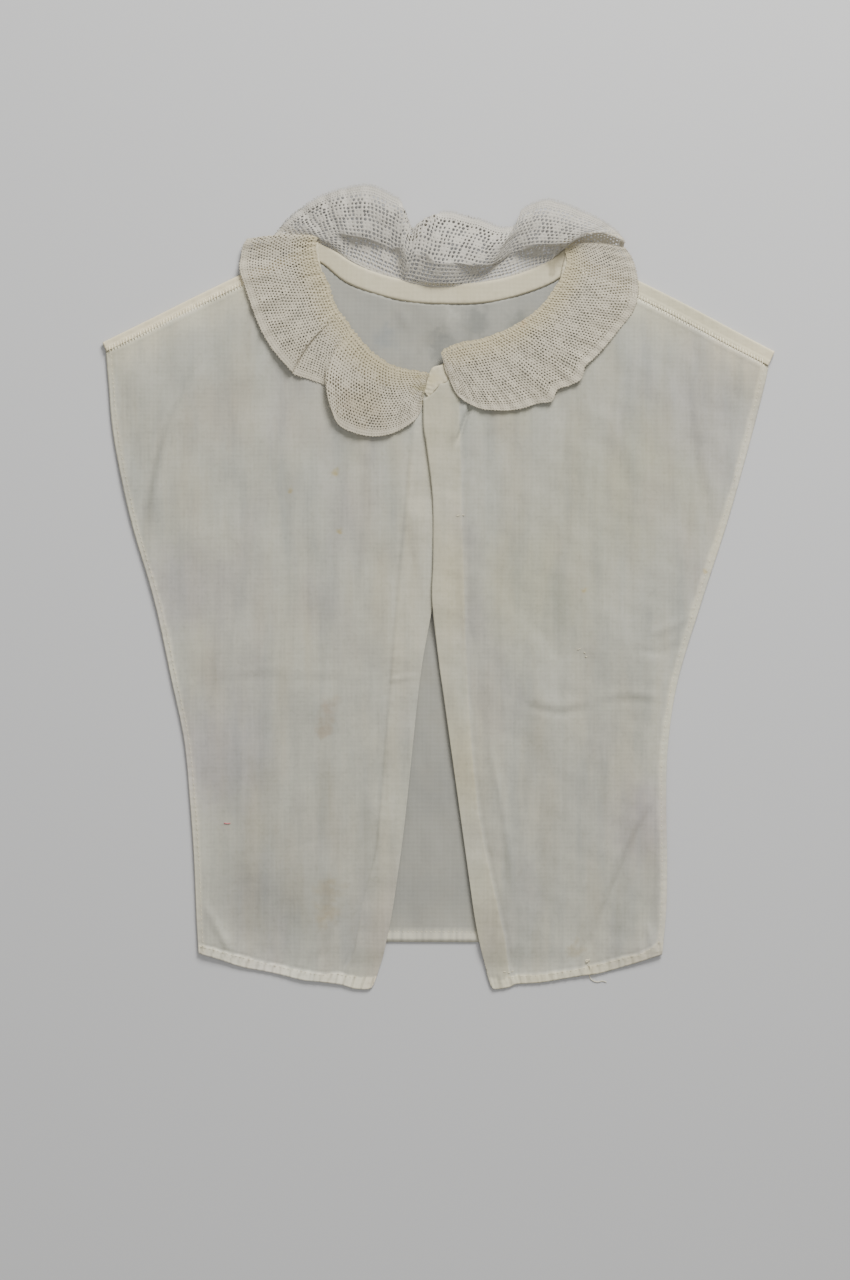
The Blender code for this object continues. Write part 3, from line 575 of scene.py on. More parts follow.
# The side and the bottom edges droop to the table, and nowhere sink into the back panel.
SIDE_DROOP = 1.15
SIDE_DROOP_WIDE = 6.0
HEM_DROOP = 1.55
HEM_DROOP_FROM = -213.0
LOWEST_HEM = 0.45
OVER_BACK = 1.3
BACK_ENDS = -218.0
FRONT_COTTON = (0.458, 0.449, 0.373)
FRONT_DOUBLED = (0.985, 0.960, 0.815)
FRONT_CLOUDS = (
    (42.0, 2.0, 0.50, 0.70, (0.92, 0.89, 0.96), 0.8, (1.0, 0.5, 1.0)),
    (120.0, 2.0, 0.40, 0.75, (0.90, 0.92, 0.97), 0.8),
    (30.0, 3.0, 0.48, 0.8, (0.98, 0.955, 0.90), 0.6, (1.0, 0.35, 1.0)),
    (17.0, 3.0, 0.46, 0.66, (1.0, 0.96, 0.90), 0.8, (1.0, 0.2, 1.0)),
    (12.5, 3.0, 0.48, 0.68, (0.86, 0.88, 0.91), 0.9, (1.0, 0.16, 1.0)),
    (7.0, 3.0, 0.48, 0.75, (0.85, 0.85, 0.86), 0.75, (1.0, 0.14, 1.0)),
    (2.2, 3.0, 0.50, 0.8, (0.82, 0.82, 0.80), 0.6))
# Painted shade beside the creases, small rust spots, larger faint stains, broad bluish painted shade,
# mostly on the left and low down, and creamy areas.
FRONT_MARKS_AND_PAINTED_SHADE = (
    (-148.5, 126.0, 15.0, (0.93, 0.94, 0.94), 0.7), (-155.5, 110.0, 14.0, (0.91, 0.92, 0.92), 0.7),
    (-162.0, 93.0, 15.0, (0.92, 0.93, 0.93), 0.7), (-168.5, 73.0, 15.0, (0.93, 0.94, 0.93), 0.7),
    (-174.0, 50.0, 15.0, (0.93, 0.93, 0.95), 0.7), (91.5, -209.0, 11.0, (0.88, 0.88, 0.88), 0.7),
    (101.0, -188.0, 13.0, (0.92, 0.92, 0.94), 0.6),
    (-62.1, 70.2, 8.0, (0.93, 0.80, 0.46), 0.85), (-59.1, 35.1, 6.5, (0.95, 0.80, 0.44), 0.85),
    (87.9, -1.2, 6.5, (0.95, 0.82, 0.50), 0.8), (-89.0, 59.0, 5.0, (0.94, 0.82, 0.52), 0.8),
    (160.0, 10.5, 5.0, (0.94, 0.82, 0.52), 0.8), (-57.0, 104.0, 4.0, (0.94, 0.82, 0.52), 0.7),
    (-66.0, -181.0, 26.0, (0.88, 0.79, 0.68), 0.8), (-67.0, -196.0, 26.0, (0.87, 0.77, 0.64), 0.8),
    (-66.0, -74.0, 18.0, (0.87, 0.76, 0.71), 0.8), (-68.0, -84.0, 16.0, (0.88, 0.77, 0.71), 0.8),
    (-62.0, -66.0, 12.0, (0.94, 0.87, 0.80), 0.6), (-100.0, -180.0, 110.0, (0.85, 0.857, 0.89), 0.8),
    (-130.0, 105.0, 80.0, (0.94, 0.88, 0.84), 0.7), (82.0, -217.0, 16.0, (0.85, 0.78, 0.66), 0.7),
    (-138.0, -100.0, 120.0, (0.88, 0.85, 0.97), 0.8), (-108.0, -186.0, 80.0, (0.90, 0.90, 0.93), 0.8),
    (-154.0, 0.0, 90.0, (0.91, 0.88, 0.98), 0.8), (-70.0, -150.0, 60.0, (0.97, 0.95, 0.96), 0.6),
    (80.0, -120.0, 110.0, (0.95, 0.945, 0.95), 0.6), (110.0, 60.0, 140.0, (0.97, 0.965, 0.87), 0.8),
    (60.0, 0.0, 130.0, (0.93, 0.93, 0.84), 0.8), (122.0, -140.0, 80.0, (0.92, 0.89, 0.96), 0.8),
    (40.0, 105.0, 60.0, (0.99, 0.98, 0.90), 0.7))


def across_line(line, level, along_y):
    """Where a line lies at each level, for a line read up the cloth or across it."""
    line = thread_line(line, LINE_LEVELS)
    keys, values = (line[:, 1], line[:, 0]) if along_y else (line[:, 0], line[:, 1])
    order = np.argsort(keys)
    return np.interp(level, keys[order], values[order])


def laps_over(x, y):
    """How far the right front is lifted where it lies over the left one at the neck."""
    past = x - across_line(LEFT_CENTRE, y, True) - 2.0
    return LAP_RISE * ease(1.0 - past / LAP_FADE) * ease(1.0 + (y - LAP_BOTTOM) / 30.0)


def resampled(line, shares):
    """Places at the given shares of a finely drawn line."""
    return points_at(line, shares, np.linspace(0, 1, len(line)))


def front_panel(name, parts, creases, make):
    """One front from its cut edges, with raised hems and placket and its creases."""
    hem, neck, join, centre, side, hem_line, placket = parts
    seed = make["seed"]
    over = np.concatenate([np.arange(*steps) for steps in ACROSS_STEPS]) / FRONT_WIDE
    up = np.concatenate((np.arange(0, HEM_ZONE, HEM_STEP),
                         np.linspace(HEM_ZONE, FRONT_TALL, ROWS_ABOVE))) / FRONT_TALL
    top = np.vstack((thread_line(neck, FINE_EDGE // 2), thread_line(join, FINE_EDGE // 2)[1:]))
    inner, outer = (resampled(thread_line(line, FINE_EDGE), up) for line in (centre, side))
    plan = cut_cloth(resampled(thread_line(hem, FINE_EDGE), over), resampled(top, over), inner, outer,
                     up, over)
    from_centre, from_side, from_hem = edge_runs(plan)
    from_top = edge_runs(plan[::-1])[2][::-1]
    x, y = plan[..., 0], plan[..., 1]
    outer_half = over[None, :] - 0.5
    past_placket = (x - across_line(placket, y, True)) * make["outward"]
    above_hem = y - across_line(hem_line, x, False)

    # Doubled cloth: the placket, the side and bottom hems, and the seam at the shoulder.
    wander = 0.4 * np.sin(y * 0.053 + seed) + 0.2 * puckers(y, 0.31, 2.0, 0.07)
    hem_wander = 0.35 * np.sin(x * 0.31 + seed) + 0.25 * np.sin(x * 0.9)
    in_placket = ease(0.5 - past_placket / PLACKET_SOFT)
    bottom_hem = ease(0.5 - (above_hem + hem_wander) / HEM_SOFT)
    side_hem = ease(0.5 - (from_side - make["side_hem"] - wander) / SIDE_HEM_SOFT)
    in_seam = ease((SEAM_IN_FRONT - from_top) / SEAM_SOFT) * (outer_half > 0)
    raised = np.maximum(in_placket, np.maximum(np.maximum(bottom_hem, side_hem), in_seam * 0.7))

    # Tone: doubled cloth is lighter, painted light brightens the shoulder and side edges, the cloth just
    # above the bottom hem is lighter, and painted shade where the puckers dip breaks the hems up.
    folded = PLACKET_TONE + 0.04 * puckers(y, 0.19, 2.0, 0.05, seed)
    folded = folded + 0.016 * np.sin(y * 0.83 + x * 0.2 + 3.0 * np.sin(y * 0.091))
    side_tone = SIDE_TONE + make["side_patch"] * hump(y, SIDE_PATCH_AT, 55.0)
    doubled_and_painted_shading = np.maximum(np.maximum(in_placket * folded, bottom_hem * make["hem_tone"]),
                         np.maximum(side_hem * side_tone, in_seam * SEAM_TONE))
    # Painted light: the cloth is made lighter along the shoulder and the side.
    by_shoulder = hump(from_top, 0.0, make["shoulder_reach"]) * ease(outer_half / 0.1)
    by_side = hump(from_side, 0.0, make["side_reach"]) * ease((y - make["side_painted_light_from"]) / 40.0)
    painted_edge_light = np.maximum(make["shoulder_painted_light"] * by_shoulder, make["side_painted_light"] * by_side)
    doubled_and_painted_shading = np.maximum(doubled_and_painted_shading, np.maximum(painted_edge_light, ABOVE_HEM_TONE * hump(above_hem, 0.0, 14.0)))
    run = from_centre + 0.7 * np.sin(from_centre * 0.21)
    drawn = puckers(run, *HEM_GATHERS, seed)
    fine_drawn = puckers(run, *FINE_GATHERS, seed)
    side_drawn = puckers(y, *SIDE_GATHERS, seed) + 0.6 * puckers(y, 2.2, 1.0, 0.4)
    # Painted shade: the hems are made darker where their puckers dip.
    doubled_and_painted_shading *= (1 - 0.5 * np.clip(-drawn - 0.7 * fine_drawn, 0, 1) * (above_hem < 0)
                - 0.25 * np.clip(-side_drawn, 0, 1) * (from_side < 5))
    creamy = (make["placket_cream"] * in_placket * (0.75 + 0.25 * np.sin(y * 0.061 + seed))
              + 0.6 * side_hem + make["hem_cream"] * bottom_hem + 0.9 * by_shoulder)

    # Height: creases and waves calm down towards the edges, and the waves under the lace too.
    edge = np.minimum(np.minimum(from_centre, from_side), np.minimum(from_hem, from_top))
    calm = 0.25 + 0.75 * ease(edge / 14)
    under_lace = 1 - 0.85 * ease((LACE_COVERS - from_top) / 14.0) * ease((0.16 - outer_half) / 0.1)
    z = FRONT_TOP + (FRONT_CREASE_DEPTH * pressed(x, y, creases) + under_lace
                     * rumple(x, y, seed, FRONT_WAVES)) * calm
    z += DOUBLED_RISE * raised
    z -= make["groove"] * hump(past_placket, 1.6, 1.6) * ease(from_hem / 6)
    z -= 0.12 * hump(above_hem, 0.9, 0.8)
    z += (0.18 * drawn + 0.14 * fine_drawn) * hump(above_hem, -2.0, 4.0)
    z += 0.06 * puckers(y, *PLACKET_RIPPLES) * hump(past_placket, 0.0, 3.0)
    z += 0.07 * puckers(y, *SIDE_RIPPLES, seed) * hump(from_side, 2.5, 2.5)
    if make["laps"]:
        z += laps_over(x, y)
    z -= SIDE_DROOP * ease(1 - from_side / SIDE_DROOP_WIDE) * ease((y + 226) / 20)
    z -= HEM_DROOP * ease((HEM_DROOP_FROM - y) / 16.0)
    z = np.maximum(z, LOWEST_HEM + OVER_BACK * ease((y - BACK_ENDS) / 6.0))
    return cloth_piece(name, np.dstack((x, y, z)), FRONT_THICK, front_finish, doubled_and_painted_shading,
                       np.clip(creamy, 0, 1))


front_finish = cotton_finish("front_cotton", FRONT_COTTON, FRONT_DOUBLED, FRONT_CLOUDS, FRONT_MARKS_AND_PAINTED_SHADE,
                             seed=7.0)
left_front = front_panel("left_front_cloth",
                         (LEFT_HEM, LEFT_NECK, LEFT_JOIN[-2::-1], LEFT_CENTRE, LEFT_SIDE, LEFT_HEM_LINE,
                          LEFT_PLACKET), LEFT_CREASES, LEFT_MAKE)
right_front = front_panel("right_front_cloth",
                          (RIGHT_HEM, RIGHT_NECK, RIGHT_JOIN, RIGHT_CENTRE, RIGHT_SIDE, RIGHT_HEM_LINE,
                           RIGHT_PLACKET), RIGHT_CREASES, RIGHT_MAKE)
for piece, node in ((left_front, "left_front"), (right_front, "right_front")):
    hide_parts(node)


# Sewing. The hems are run by hand in cotton thread, the shoulders are whip-stitched over the seam,
# and a knot with its loose end was left at the right front's hem.
RUN_PITCH = 2.7
RUN_LONG = 1.35
RUN_THICK = 0.15
RUN_SLIP = 0.25
RUN_ASIDE = 0.12
WHIP_PITCH = 1.9
WHIP_LONG = 3.6
WHIP_THICK = 0.26
WHIP_SLIP = 0.2
WHIP_LEAN_SLIP = 0.15
WHIP_SINKS = 0.35
STITCH_LINE = 900
WHIP_LINE = 600
KNOT_THICK = 0.24
KNOT_LOOPS = 3
KNOT_WIDE = 1.0
KNOT_TALL = 0.7
MEND_THICK = 0.2
RED_THICK = 0.3
RED_LIFT = 0.14
TUBE_SIDES = 5
END_SLIM = 0.45
FRONT_ROW = 0.9
SIDE_ROW = 3.0
BACK_ROW = 6.1
# How high a stitch stands off the cloth from one end, where it dips in, to the other.
RUN_ARCH = (-0.05, 0.10, 0.10, -0.05)
WHIP_ARCH = (-0.06, 0.16, 0.24, 0.16, -0.06)
MEND_ARCH = (-0.05, 0.14, 0.2, 0.14, -0.05)
KNOT_PLACE = (89.1, -223.2)
LOOSE_END = ((89.6, -224.0), (91.0, -228.0), (90.6, -232.6), (92.2, -235.0), (95.4, -236.0),
             (98.4, -235.4), (101.0, -236.2))
# The level of the loose end for its place up the cloth, from the table to the hem's top.
LOOSE_END_LEVELS = ((-233.5, 0.35), (-231.5, 1.2), (-226.0, 1.9), (-223.0, 2.6))
# Single stitches of mending: place, turn from the weft and length.
MENDING = (((39.6, -230.0), 0.1, 2.0), ((42.0, -230.3), -0.2, 1.8), ((44.3, -229.6), 0.3, 1.6),
           ((11.8, 43.6), 0.25, 2.6), ((14.6, 43.9), -0.1, 2.0),
           ((84.2, -36.4), 0.45, 2.6), ((87.6, -38.6), -0.5, 1.7), ((88.4, -41.0), 0.2, 1.5))
RED_SCRAP = ((-128.6, -140.5), (-127.2, -140.9), (-125.8, -140.9), (-124.6, -140.7))
SEWING_COTTON = (0.780, 0.720, 0.540)
SEWING_CLOUDS = ((8.0, 3.0, 0.45, 0.75, (0.88, 0.84, 0.74), 0.7),)
WHIP_COTTON = (1.0, 0.930, 0.720)
WHIP_CLOUDS = ((9.0, 3.0, 0.45, 0.75, (0.84, 0.83, 0.80), 0.7),)
RED_COTTON = (0.66, 0.17, 0.19)
RED_CLOUDS = ((3.0, 3.0, 0.45, 0.75, (1.0, 1.3, 1.3), 0.6),)


def cloth_top(piece):
    """The points on top of a cloth piece, in millimetres."""
    points = np.array([vertex.co[:] for vertex in piece.data.vertices])
    return points[:len(points) // 2] * 1000


def height_on(grid, places):
    """The level of a cloth's top at each place, from its nearest grid points."""
    levels = []
    for place in np.atleast_2d(places):
        gap = np.hypot(grid[:, 0] - place[0], grid[:, 1] - place[1])
        three = np.argpartition(gap, 3)[:3]
        levels.append(grid[three, 2].mean())
    return np.array(levels)


def unit(vectors):
    """The same directions with a length of one."""
    return vectors / (np.linalg.norm(vectors, axis=-1, keepdims=True) + TINY)


def thread_tube(path, thick):
    """A round thread along a path of points, closed at both ends."""
    path = np.array(path, float)
    ahead = unit(np.gradient(path, axis=0))
    across = unit(np.cross(ahead, (0.0, 0.0, 1.0)))
    above = np.cross(across, ahead)
    turn = np.arange(TUBE_SIDES) * 2 * math.pi / TUBE_SIDES
    slim = np.ones(len(path))
    slim[0] = slim[-1] = END_SLIM
    ring = (path[:, None] + across[:, None] * (np.cos(turn) * thick)[None, :, None] * slim[:, None, None]
            + above[:, None] * (np.sin(turn) * thick)[None, :, None] * slim[:, None, None])
    rings = len(path)
    here, step = np.arange(TUBE_SIDES)[None], np.arange(rings - 1)[:, None] * TUBE_SIDES
    after = (here + 1) % TUBE_SIDES
    walls = np.stack((step + here, step + TUBE_SIDES + here, step + TUBE_SIDES + after, step + after), -1)
    last = rings * TUBE_SIDES - 1
    ends = [tuple(range(TUBE_SIDES)), tuple(range(last, last - TUBE_SIDES, -1))]
    return ring.reshape(-1, 3), [tuple(face) for face in walls.reshape(-1, 4).tolist()] + ends


def sewn_piece(name, threads, finish):
    """One piece from a list of threads, each a path and a thickness."""
    points, faces, count = [], [], 0
    for path, thick in threads:
        ring, walls = thread_tube(path, thick)
        points.append(ring)
        faces += [tuple(k + count for k in face) for face in walls]
        count += len(ring)
    return made_piece(name, np.concatenate(points), faces, finish)


def running_stitches(grid, line, seed):
    """Short even stitches along a line on a cloth."""
    draw = np.random.default_rng(seed)
    line = thread_line(line, STITCH_LINE)
    run = lengths_along(line)
    threads = []
    for start in np.arange(1.0, run[-1] - RUN_PITCH, RUN_PITCH):
        start += draw.uniform(-RUN_SLIP, RUN_SLIP)
        at = start + RUN_LONG * draw.uniform(0.8, 1.2) * np.linspace(0, 1, 4)
        place = points_at(line, at, run) + draw.uniform(-RUN_ASIDE, RUN_ASIDE, 2)
        level = height_on(grid, place).mean() + np.array(RUN_ARCH)
        threads.append((np.column_stack((place, level)), RUN_THICK))
    return threads


def whip_stitches(grid, line, seed, lean):
    """Slanting stitches over a seam."""
    draw = np.random.default_rng(seed)
    line = thread_line(line, WHIP_LINE)
    run = lengths_along(line)
    threads = []
    for start in np.arange(2.0, run[-1] - 2.0, WHIP_PITCH):
        at = start + draw.uniform(-WHIP_SLIP, WHIP_SLIP)
        place = points_at(line, at, run)
        ahead = unit(points_at(line, at + 0.5, run) - place)
        slant = lean + draw.uniform(-WHIP_LEAN_SLIP, WHIP_LEAN_SLIP)
        over = np.array((-ahead[1], ahead[0])) + ahead * slant
        reach = WHIP_LONG * draw.uniform(0.75, 1.1) * np.linspace(-0.4, 0.6, 5)
        path = place + over * reach[:, None]
        level = height_on(grid, path) + np.array(WHIP_ARCH)
        level = np.maximum(level, level.max() - WHIP_SINKS)
        threads.append((np.column_stack((path, level)), WHIP_THICK))
    return threads


def moved(line, right, up):
    """A line of points moved aside."""
    return [(px + right, py + up) for px, py in line]


thread_finish = cotton_finish("sewing_thread", SEWING_COTTON, SEWING_COTTON, SEWING_CLOUDS, (), seed=4.0)
left_grid, right_grid, back_grid = (cloth_top(piece) for piece in (left_front, right_front, back_panel))
hem_threads = (running_stitches(left_grid, moved(LEFT_HEM_LINE[:-1], 0.0, -FRONT_ROW), seed=21)
               + running_stitches(right_grid, moved(RIGHT_HEM_LINE[1:-1], 0.0, -FRONT_ROW), seed=22)
               + running_stitches(left_grid, moved(LEFT_SIDE, SIDE_ROW, 0.0), seed=23)
               + running_stitches(right_grid, moved(RIGHT_SIDE, -SIDE_ROW, 0.0), seed=24))
hem_stitches = sewn_piece("front_hem_stitches", hem_threads, thread_finish)
back_threads = running_stitches(back_grid, moved(BACK_HEM, 0.0, BACK_ROW), seed=25)
back_stitches = sewn_piece("back_hem_stitches", back_threads, thread_finish)

left_turn, right_turn = (cloth_top(turned) for turned in shoulder_turns)
left_shoulder, right_shoulder = (np.concatenate(tops) for tops in ((left_turn, left_grid),
                                                                   (right_turn, right_grid)))
whip_threads = (whip_stitches(left_shoulder, LEFT_JOIN[:-1], seed=31, lean=0.45)
                + whip_stitches(right_shoulder, RIGHT_JOIN, seed=32, lean=-0.4))
whip_finish = cotton_finish("whipping_thread", WHIP_COTTON, WHIP_COTTON, WHIP_CLOUDS, (), seed=4.0)
shoulder_stitches = sewn_piece("shoulder_stitches", whip_threads, whip_finish)

knot = np.array((*KNOT_PLACE, height_on(right_grid, KNOT_PLACE)[0]))
around = np.linspace(0, 2 * math.pi, 9)
knot_threads = []
for k in range(KNOT_LOOPS):
    loop = np.column_stack((KNOT_WIDE * np.cos(around + k) + 0.3 * k, KNOT_TALL * np.sin(around + 2 * k),
                            0.35 + 0.2 * np.sin(around * 2 + k)))
    knot_threads.append((knot + loop, KNOT_THICK))
tail = thread_line(LOOSE_END, 26)
tail_level = np.interp(tail[:, 1], *zip(*LOOSE_END_LEVELS))
knot_threads.append((np.column_stack((tail, tail_level)), KNOT_THICK))
for place, turn, long in MENDING:
    path = np.array(place) + np.outer(np.linspace(-0.5, 0.5, 5) * long, (math.cos(turn), math.sin(turn)))
    level = height_on(right_grid, path).mean() + np.array(MEND_ARCH)
    knot_threads.append((np.column_stack((path, level)), MEND_THICK))
thread_end = sewn_piece("thread_knot", knot_threads, thread_finish)
red_finish = cotton_finish("red_thread", RED_COTTON, RED_COTTON, RED_CLOUDS, (), seed=9.0)
path = thread_line(RED_SCRAP, 9)
red_path = np.column_stack((path, height_on(left_grid, path) + RED_LIFT))
red_thread = sewn_piece("red_thread", [(red_path, RED_THICK)], red_finish)


# Neckband. A narrow doubled strip of the same cotton, sewn to the neck edges and folded with the
# shoulders, so its inside shows at the back and its right end makes a small tab at the throat.
BAND_THICK = 0.5
BAND_STEPS = 620
BAND_ACROSS = 13
BAND_ROUND = 0.45
SEAM_PUCKERS = (1.5, 2.2, 0.11)
FREE_PUCKERS = (2.3, 1.7, 0.2)
THROAT_FROM = 31.0
BAND_COTTON = (0.608, 0.552, 0.395)
BAND_CLOUDS = ((30.0, 3.0, 0.45, 0.75, (0.90, 0.88, 0.83), 0.7),
               (4.0, 3.0, 0.52, 0.85, (0.88, 0.87, 0.85), 0.7))
# Darker where the band folds at the right shoulder, painted shade with an olive stain where the lace end
# tucks in at the throat, and a creamy patch on the tab: place across and up, how wide, tint and strength.
BAND_MARKS_AND_PAINTED_SHADE = ((69.0, 196.0, 20.0, (0.56, 0.54, 0.50), 0.8), (65.0, 198.0, 9.0, (0.52, 0.51, 0.48), 0.8),
              (-9.5, 120.0, 9.0, (0.80, 0.77, 0.58), 0.8), (-4.0, 126.0, 16.0, (0.98, 0.95, 0.82), 0.8))
# A row for each place from the left front's end round the neck to the tab: free edge x and y, sewn
# edge x and y, and height.
BAND_EDGES = (
    (9.0, 125.5, 8.0, 114.5, 2.3), (-8.0, 127.5, -10.0, 115.5, 2.3), (-26.0, 132.5, -31.0, 121.0, 2.3),
    (-41.0, 139.5, -49.0, 130.5, 2.3), (-52.0, 150.5, -62.0, 143.0, 2.3),
    (-61.0, 166.0, -72.5, 161.5, 2.3), (-67.0, 180.5, -78.5, 178.0, 2.3),
    (-71.0, 195.5, -82.0, 193.5, 2.3), (-71.8, 205.6, -82.3, 200.6, 2.2),
    (-72.3, 207.6, -82.8, 202.4, 1.8), (-72.3, 208.0, -82.6, 202.6, 1.4),
    (-71.0, 206.8, -79.0, 200.2, 0.9), (-63.5, 203.0, -68.2, 194.4, 0.36),
    (-50.0, 194.5, -54.7, 183.9, 0.36), (-32.0, 187.5, -34.6, 176.4, 0.36),
    (-14.0, 184.0, -15.6, 172.3, 0.36), (5.0, 182.5, 5.0, 171.3, 0.36),
    (25.0, 183.5, 26.0, 171.8, 0.36), (43.0, 187.0, 46.1, 175.8, 0.36),
    (61.0, 193.5, 66.7, 183.3, 0.4), (73.0, 201.5, 82.0, 193.5, 0.7), (76.6, 204.0, 88.0, 197.6, 1.4),
    (76.4, 202.8, 87.8, 196.6, 1.9), (75.8, 199.8, 87.0, 193.6, 2.2), (74.0, 192.5, 85.8, 188.2, 2.3),
    (70.8, 180.7, 79.4, 175.8, 2.3), (58.8, 165.7, 64.4, 160.1, 2.3), (42.4, 154.4, 46.3, 147.6, 2.3),
    (23.6, 146.8, 26.7, 139.1, 2.5), (8.6, 140.8, 11.5, 131.0, 2.9), (2.7, 134.5, 5.9, 124.5, 3.4),
    (-3.9, 132.0, 0.6, 121.6, 3.5), (-6.9, 124.8, -3.2, 117.6, 3.5), (-8.6, 117.6, -5.6, 114.6, 3.5))


def curve_at(table, at):
    """Smooth values of a table of rows at fractional row numbers."""
    table = np.asarray(table, float)
    i = np.clip(at.astype(int), 0, len(table) - 2)
    before, start = table[np.clip(i - 1, 0, None)], table[i]
    stop, after = table[i + 1], table[np.clip(i + 2, None, len(table) - 1)]
    return smooth_step(start, (stop - before) / 2, stop, (after - start) / 2, (at - i)[..., None])


band_at = np.linspace(0, len(BAND_EDGES) - 1, BAND_STEPS)
band_rows = curve_at(BAND_EDGES, band_at)
free, seam, level = band_rows[:, :2], band_rows[:, 2:4], band_rows[:, 4]
seam = seam + (seam - free) / np.linalg.norm(seam - free, axis=1, keepdims=True) * 0.5
level = level + 0.12 * ease((0.5 - level) / 0.12)
share = np.linspace(0, 1, BAND_ACROSS)[None, :, None]
band_plan = free[:, None] + (seam - free)[:, None] * share
band_run = lengths_along(seam)[:, None]
width = np.linalg.norm(seam - free, axis=1)[:, None]
in_band = share[..., 0] * width
round_over = ease(np.minimum(in_band, width - in_band) / 0.9)
pucker = (0.10 * puckers(band_run, *SEAM_PUCKERS) * hump(width - in_band, 0.0, 3.0)
          + 0.09 * puckers(band_run, *FREE_PUCKERS) * hump(in_band, 0.0, 2.5))
at_throat = ease(band_at[:, None] - THROAT_FROM)
throat_waves = 0.10 * at_throat * np.sin(band_plan[..., 1] * 2.4 + 0.6 * band_plan[..., 0])
band_top = level[:, None] + (BAND_ROUND + throat_waves) * round_over + pucker
band_finish = cotton_finish("band_cotton", BAND_COTTON, BAND_COTTON, BAND_CLOUDS, BAND_MARKS_AND_PAINTED_SHADE, seed=3.0)
neckband = cloth_piece("neckband_cloth", np.dstack((band_plan, band_top)), BAND_THICK, band_finish)
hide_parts("neckband")


# Lace frill. One strip of cotton net lace with close-worked dots, a plain clothwork border and a
# picot edge is gathered on a thread at its neck side and sewn to the band all round. It is made
# here as three pieces that meet at the shoulders, with a small cell of thread round every hole.
LACE_WIDE = 44.6
# Rows of the lace from the neck: how tall each row is and how it is worked.
FINE_NET = ((1.9, "gather"),) + ((1.65, "net"),) * 23 + ((1.25, "slit"), (1.8, "close"), (1.7, "close"))
OPEN_NET = ((2.0, "gather"),) + ((2.13, "net"),) * 18 + ((1.3, "slit"), (1.5, "close"), (1.5, "close"))
SLIT_CELL = 1.6
CLOSE_CELL = 1.5
# Each piece: its first and last section, its rows, the width of a mesh, the length of its strip in
# metres, and what it lies on.
LACE_PARTS = (("left_lace", 0.0, 31.0, FINE_NET, 1.68, 0.235, "left_front"),
              ("back_lace", 31.0, 77.0, OPEN_NET, 2.3, 0.245, "neckband"),
              ("right_lace", 77.0, 102.0, FINE_NET, 1.68, 0.200, "right_front"))
DOT_EVERY = 13.8
DOT_ROWS = (7.5, 14.3, 21.1, 27.9, 34.7)
DOT_HALF_WIDE = 2.2
DOT_HALF_TALL = 1.7
BACK_DOT_MORE = 0.5
# Half width and half height of the holes as shares of a cell, from the least to the most.
NET_HOLE = ((0.40, 0.60), (0.52, 0.74))
SLIT_HOLE = ((0.3, 0.5), (0.45, 0.65))
CLOSE_HOLE = ((0.05, 0.22), (0.05, 0.22))
HOLE_LIMITS = ((0.03, 0.76), (0.03, 0.80))
CELL_SHARE = 0.88
PICOT_EVERY = 1.9
PICOT_HALF = 0.55
PICOT_THICK = 0.21
PLEAT_EVERY = 4.4
PLEAT_DEEP = 0.34
FINE_PLEATS = (2.6, 1.6, 0.53)
RUCKS = (1.31, 2.0, 0.37)
FINE_RUCKS = (2.9, 1.2, 0.8)
EDGE_WAVES = (2 * math.pi / 17.0, 2.0, 0.045)
EDGE_RIPPLES = (2 * math.pi / 7.3, 1.5, 0.09)
LOWEST_LACE = 0.1
BACK_FROM = 33.0
BACK_TO = 74.0
BACK_SHIFT = 2.2
TUCK_FROM = 0.8
TUCK_DEPTH = 2.4
ROLL_FROM = 0.08
ROLL_LONG = 0.52
RIGHT_FROM = 76.0
RIGHT_CALMER = 0.6
MESH_ZONES = 3.2
DOT_RAISED = 0.10
ROW_POINTS = 2200
EDGE_POINTS = 3000
FRILL_POINTS = 4000
# Runs of sections where the edge is folded under and no picots show.
HIDDEN_EDGE = ((8.6, 10.9), (14.6, 17.6), (29.8, 33.6), (46.8, 51.4), (74.4, 77.6))
DEPTH_STEPS = 61
LACE_BACK = (0.530, 0.502, 0.440)
LACE_FRONT = (0.530, 0.483, 0.353)
LACE_CLOUDS = ((25.0, 3.0, 0.45, 0.75, (0.86, 0.85, 0.82), 0.6),
               (2.0, 2.0, 0.5, 0.9, (0.84, 0.83, 0.81), 0.6))
# Painted shade with an olive stain where the left lace's end tucks in at the throat, painted shade in and
# under the left lace's folds, and a pinkish spot at the right lace's neck: place across and up, how wide,
# tint and strength.
LACE_MARKS_AND_PAINTED_SHADE = ((-10.5, 119.0, 15.0, (0.66, 0.64, 0.48), 0.85), (-44.0, 110.0, 48.0, (0.80, 0.76, 0.68), 0.8),
              (-55.0, 112.0, 18.0, (0.86, 0.82, 0.80), 0.7), (51.0, 158.5, 8.0, (0.97, 0.86, 0.78), 0.7))
# The thread round each hole has rings of eight points: how far each ring stands back from the hole,
# as a share of the cell, and its height. The first ring runs round the cell's own edge.
CELL_CORNERS = np.array(((-1, -1), (0, -1), (1, -1), (1, 0), (1, 1), (0, 1), (-1, 1), (-1, 0)), float)
THREAD_RINGS = ((None, 0.16), (0.20, 0.13), (0.0, -0.02), (0.03, -0.16))
HEIGHTS_AT = np.array((0.0, 0.2, 0.4, 0.7, 1.0))
# Sections whose heights at .4, .7 and 1 of the width are lifted off the fronts: first, last, lifts.
EDGE_LIFTS = ((0, 0, 0.0, 0.1, 0.3), (1, 1, 0.0, 0.2, 0.5), (2, 8, 0.0, 0.4, 1.0), (19, 26, 0.1, 0.7, 1.3),
              (86, 101, 0.0, 0.3, 0.9))
# From this section on, the heights at .7 and 1 settle by these shares toward one height.
SETTLED_FROM = 86
SETTLED_TO = 3.4
SETTLED_BY = (0.5, 0.25)
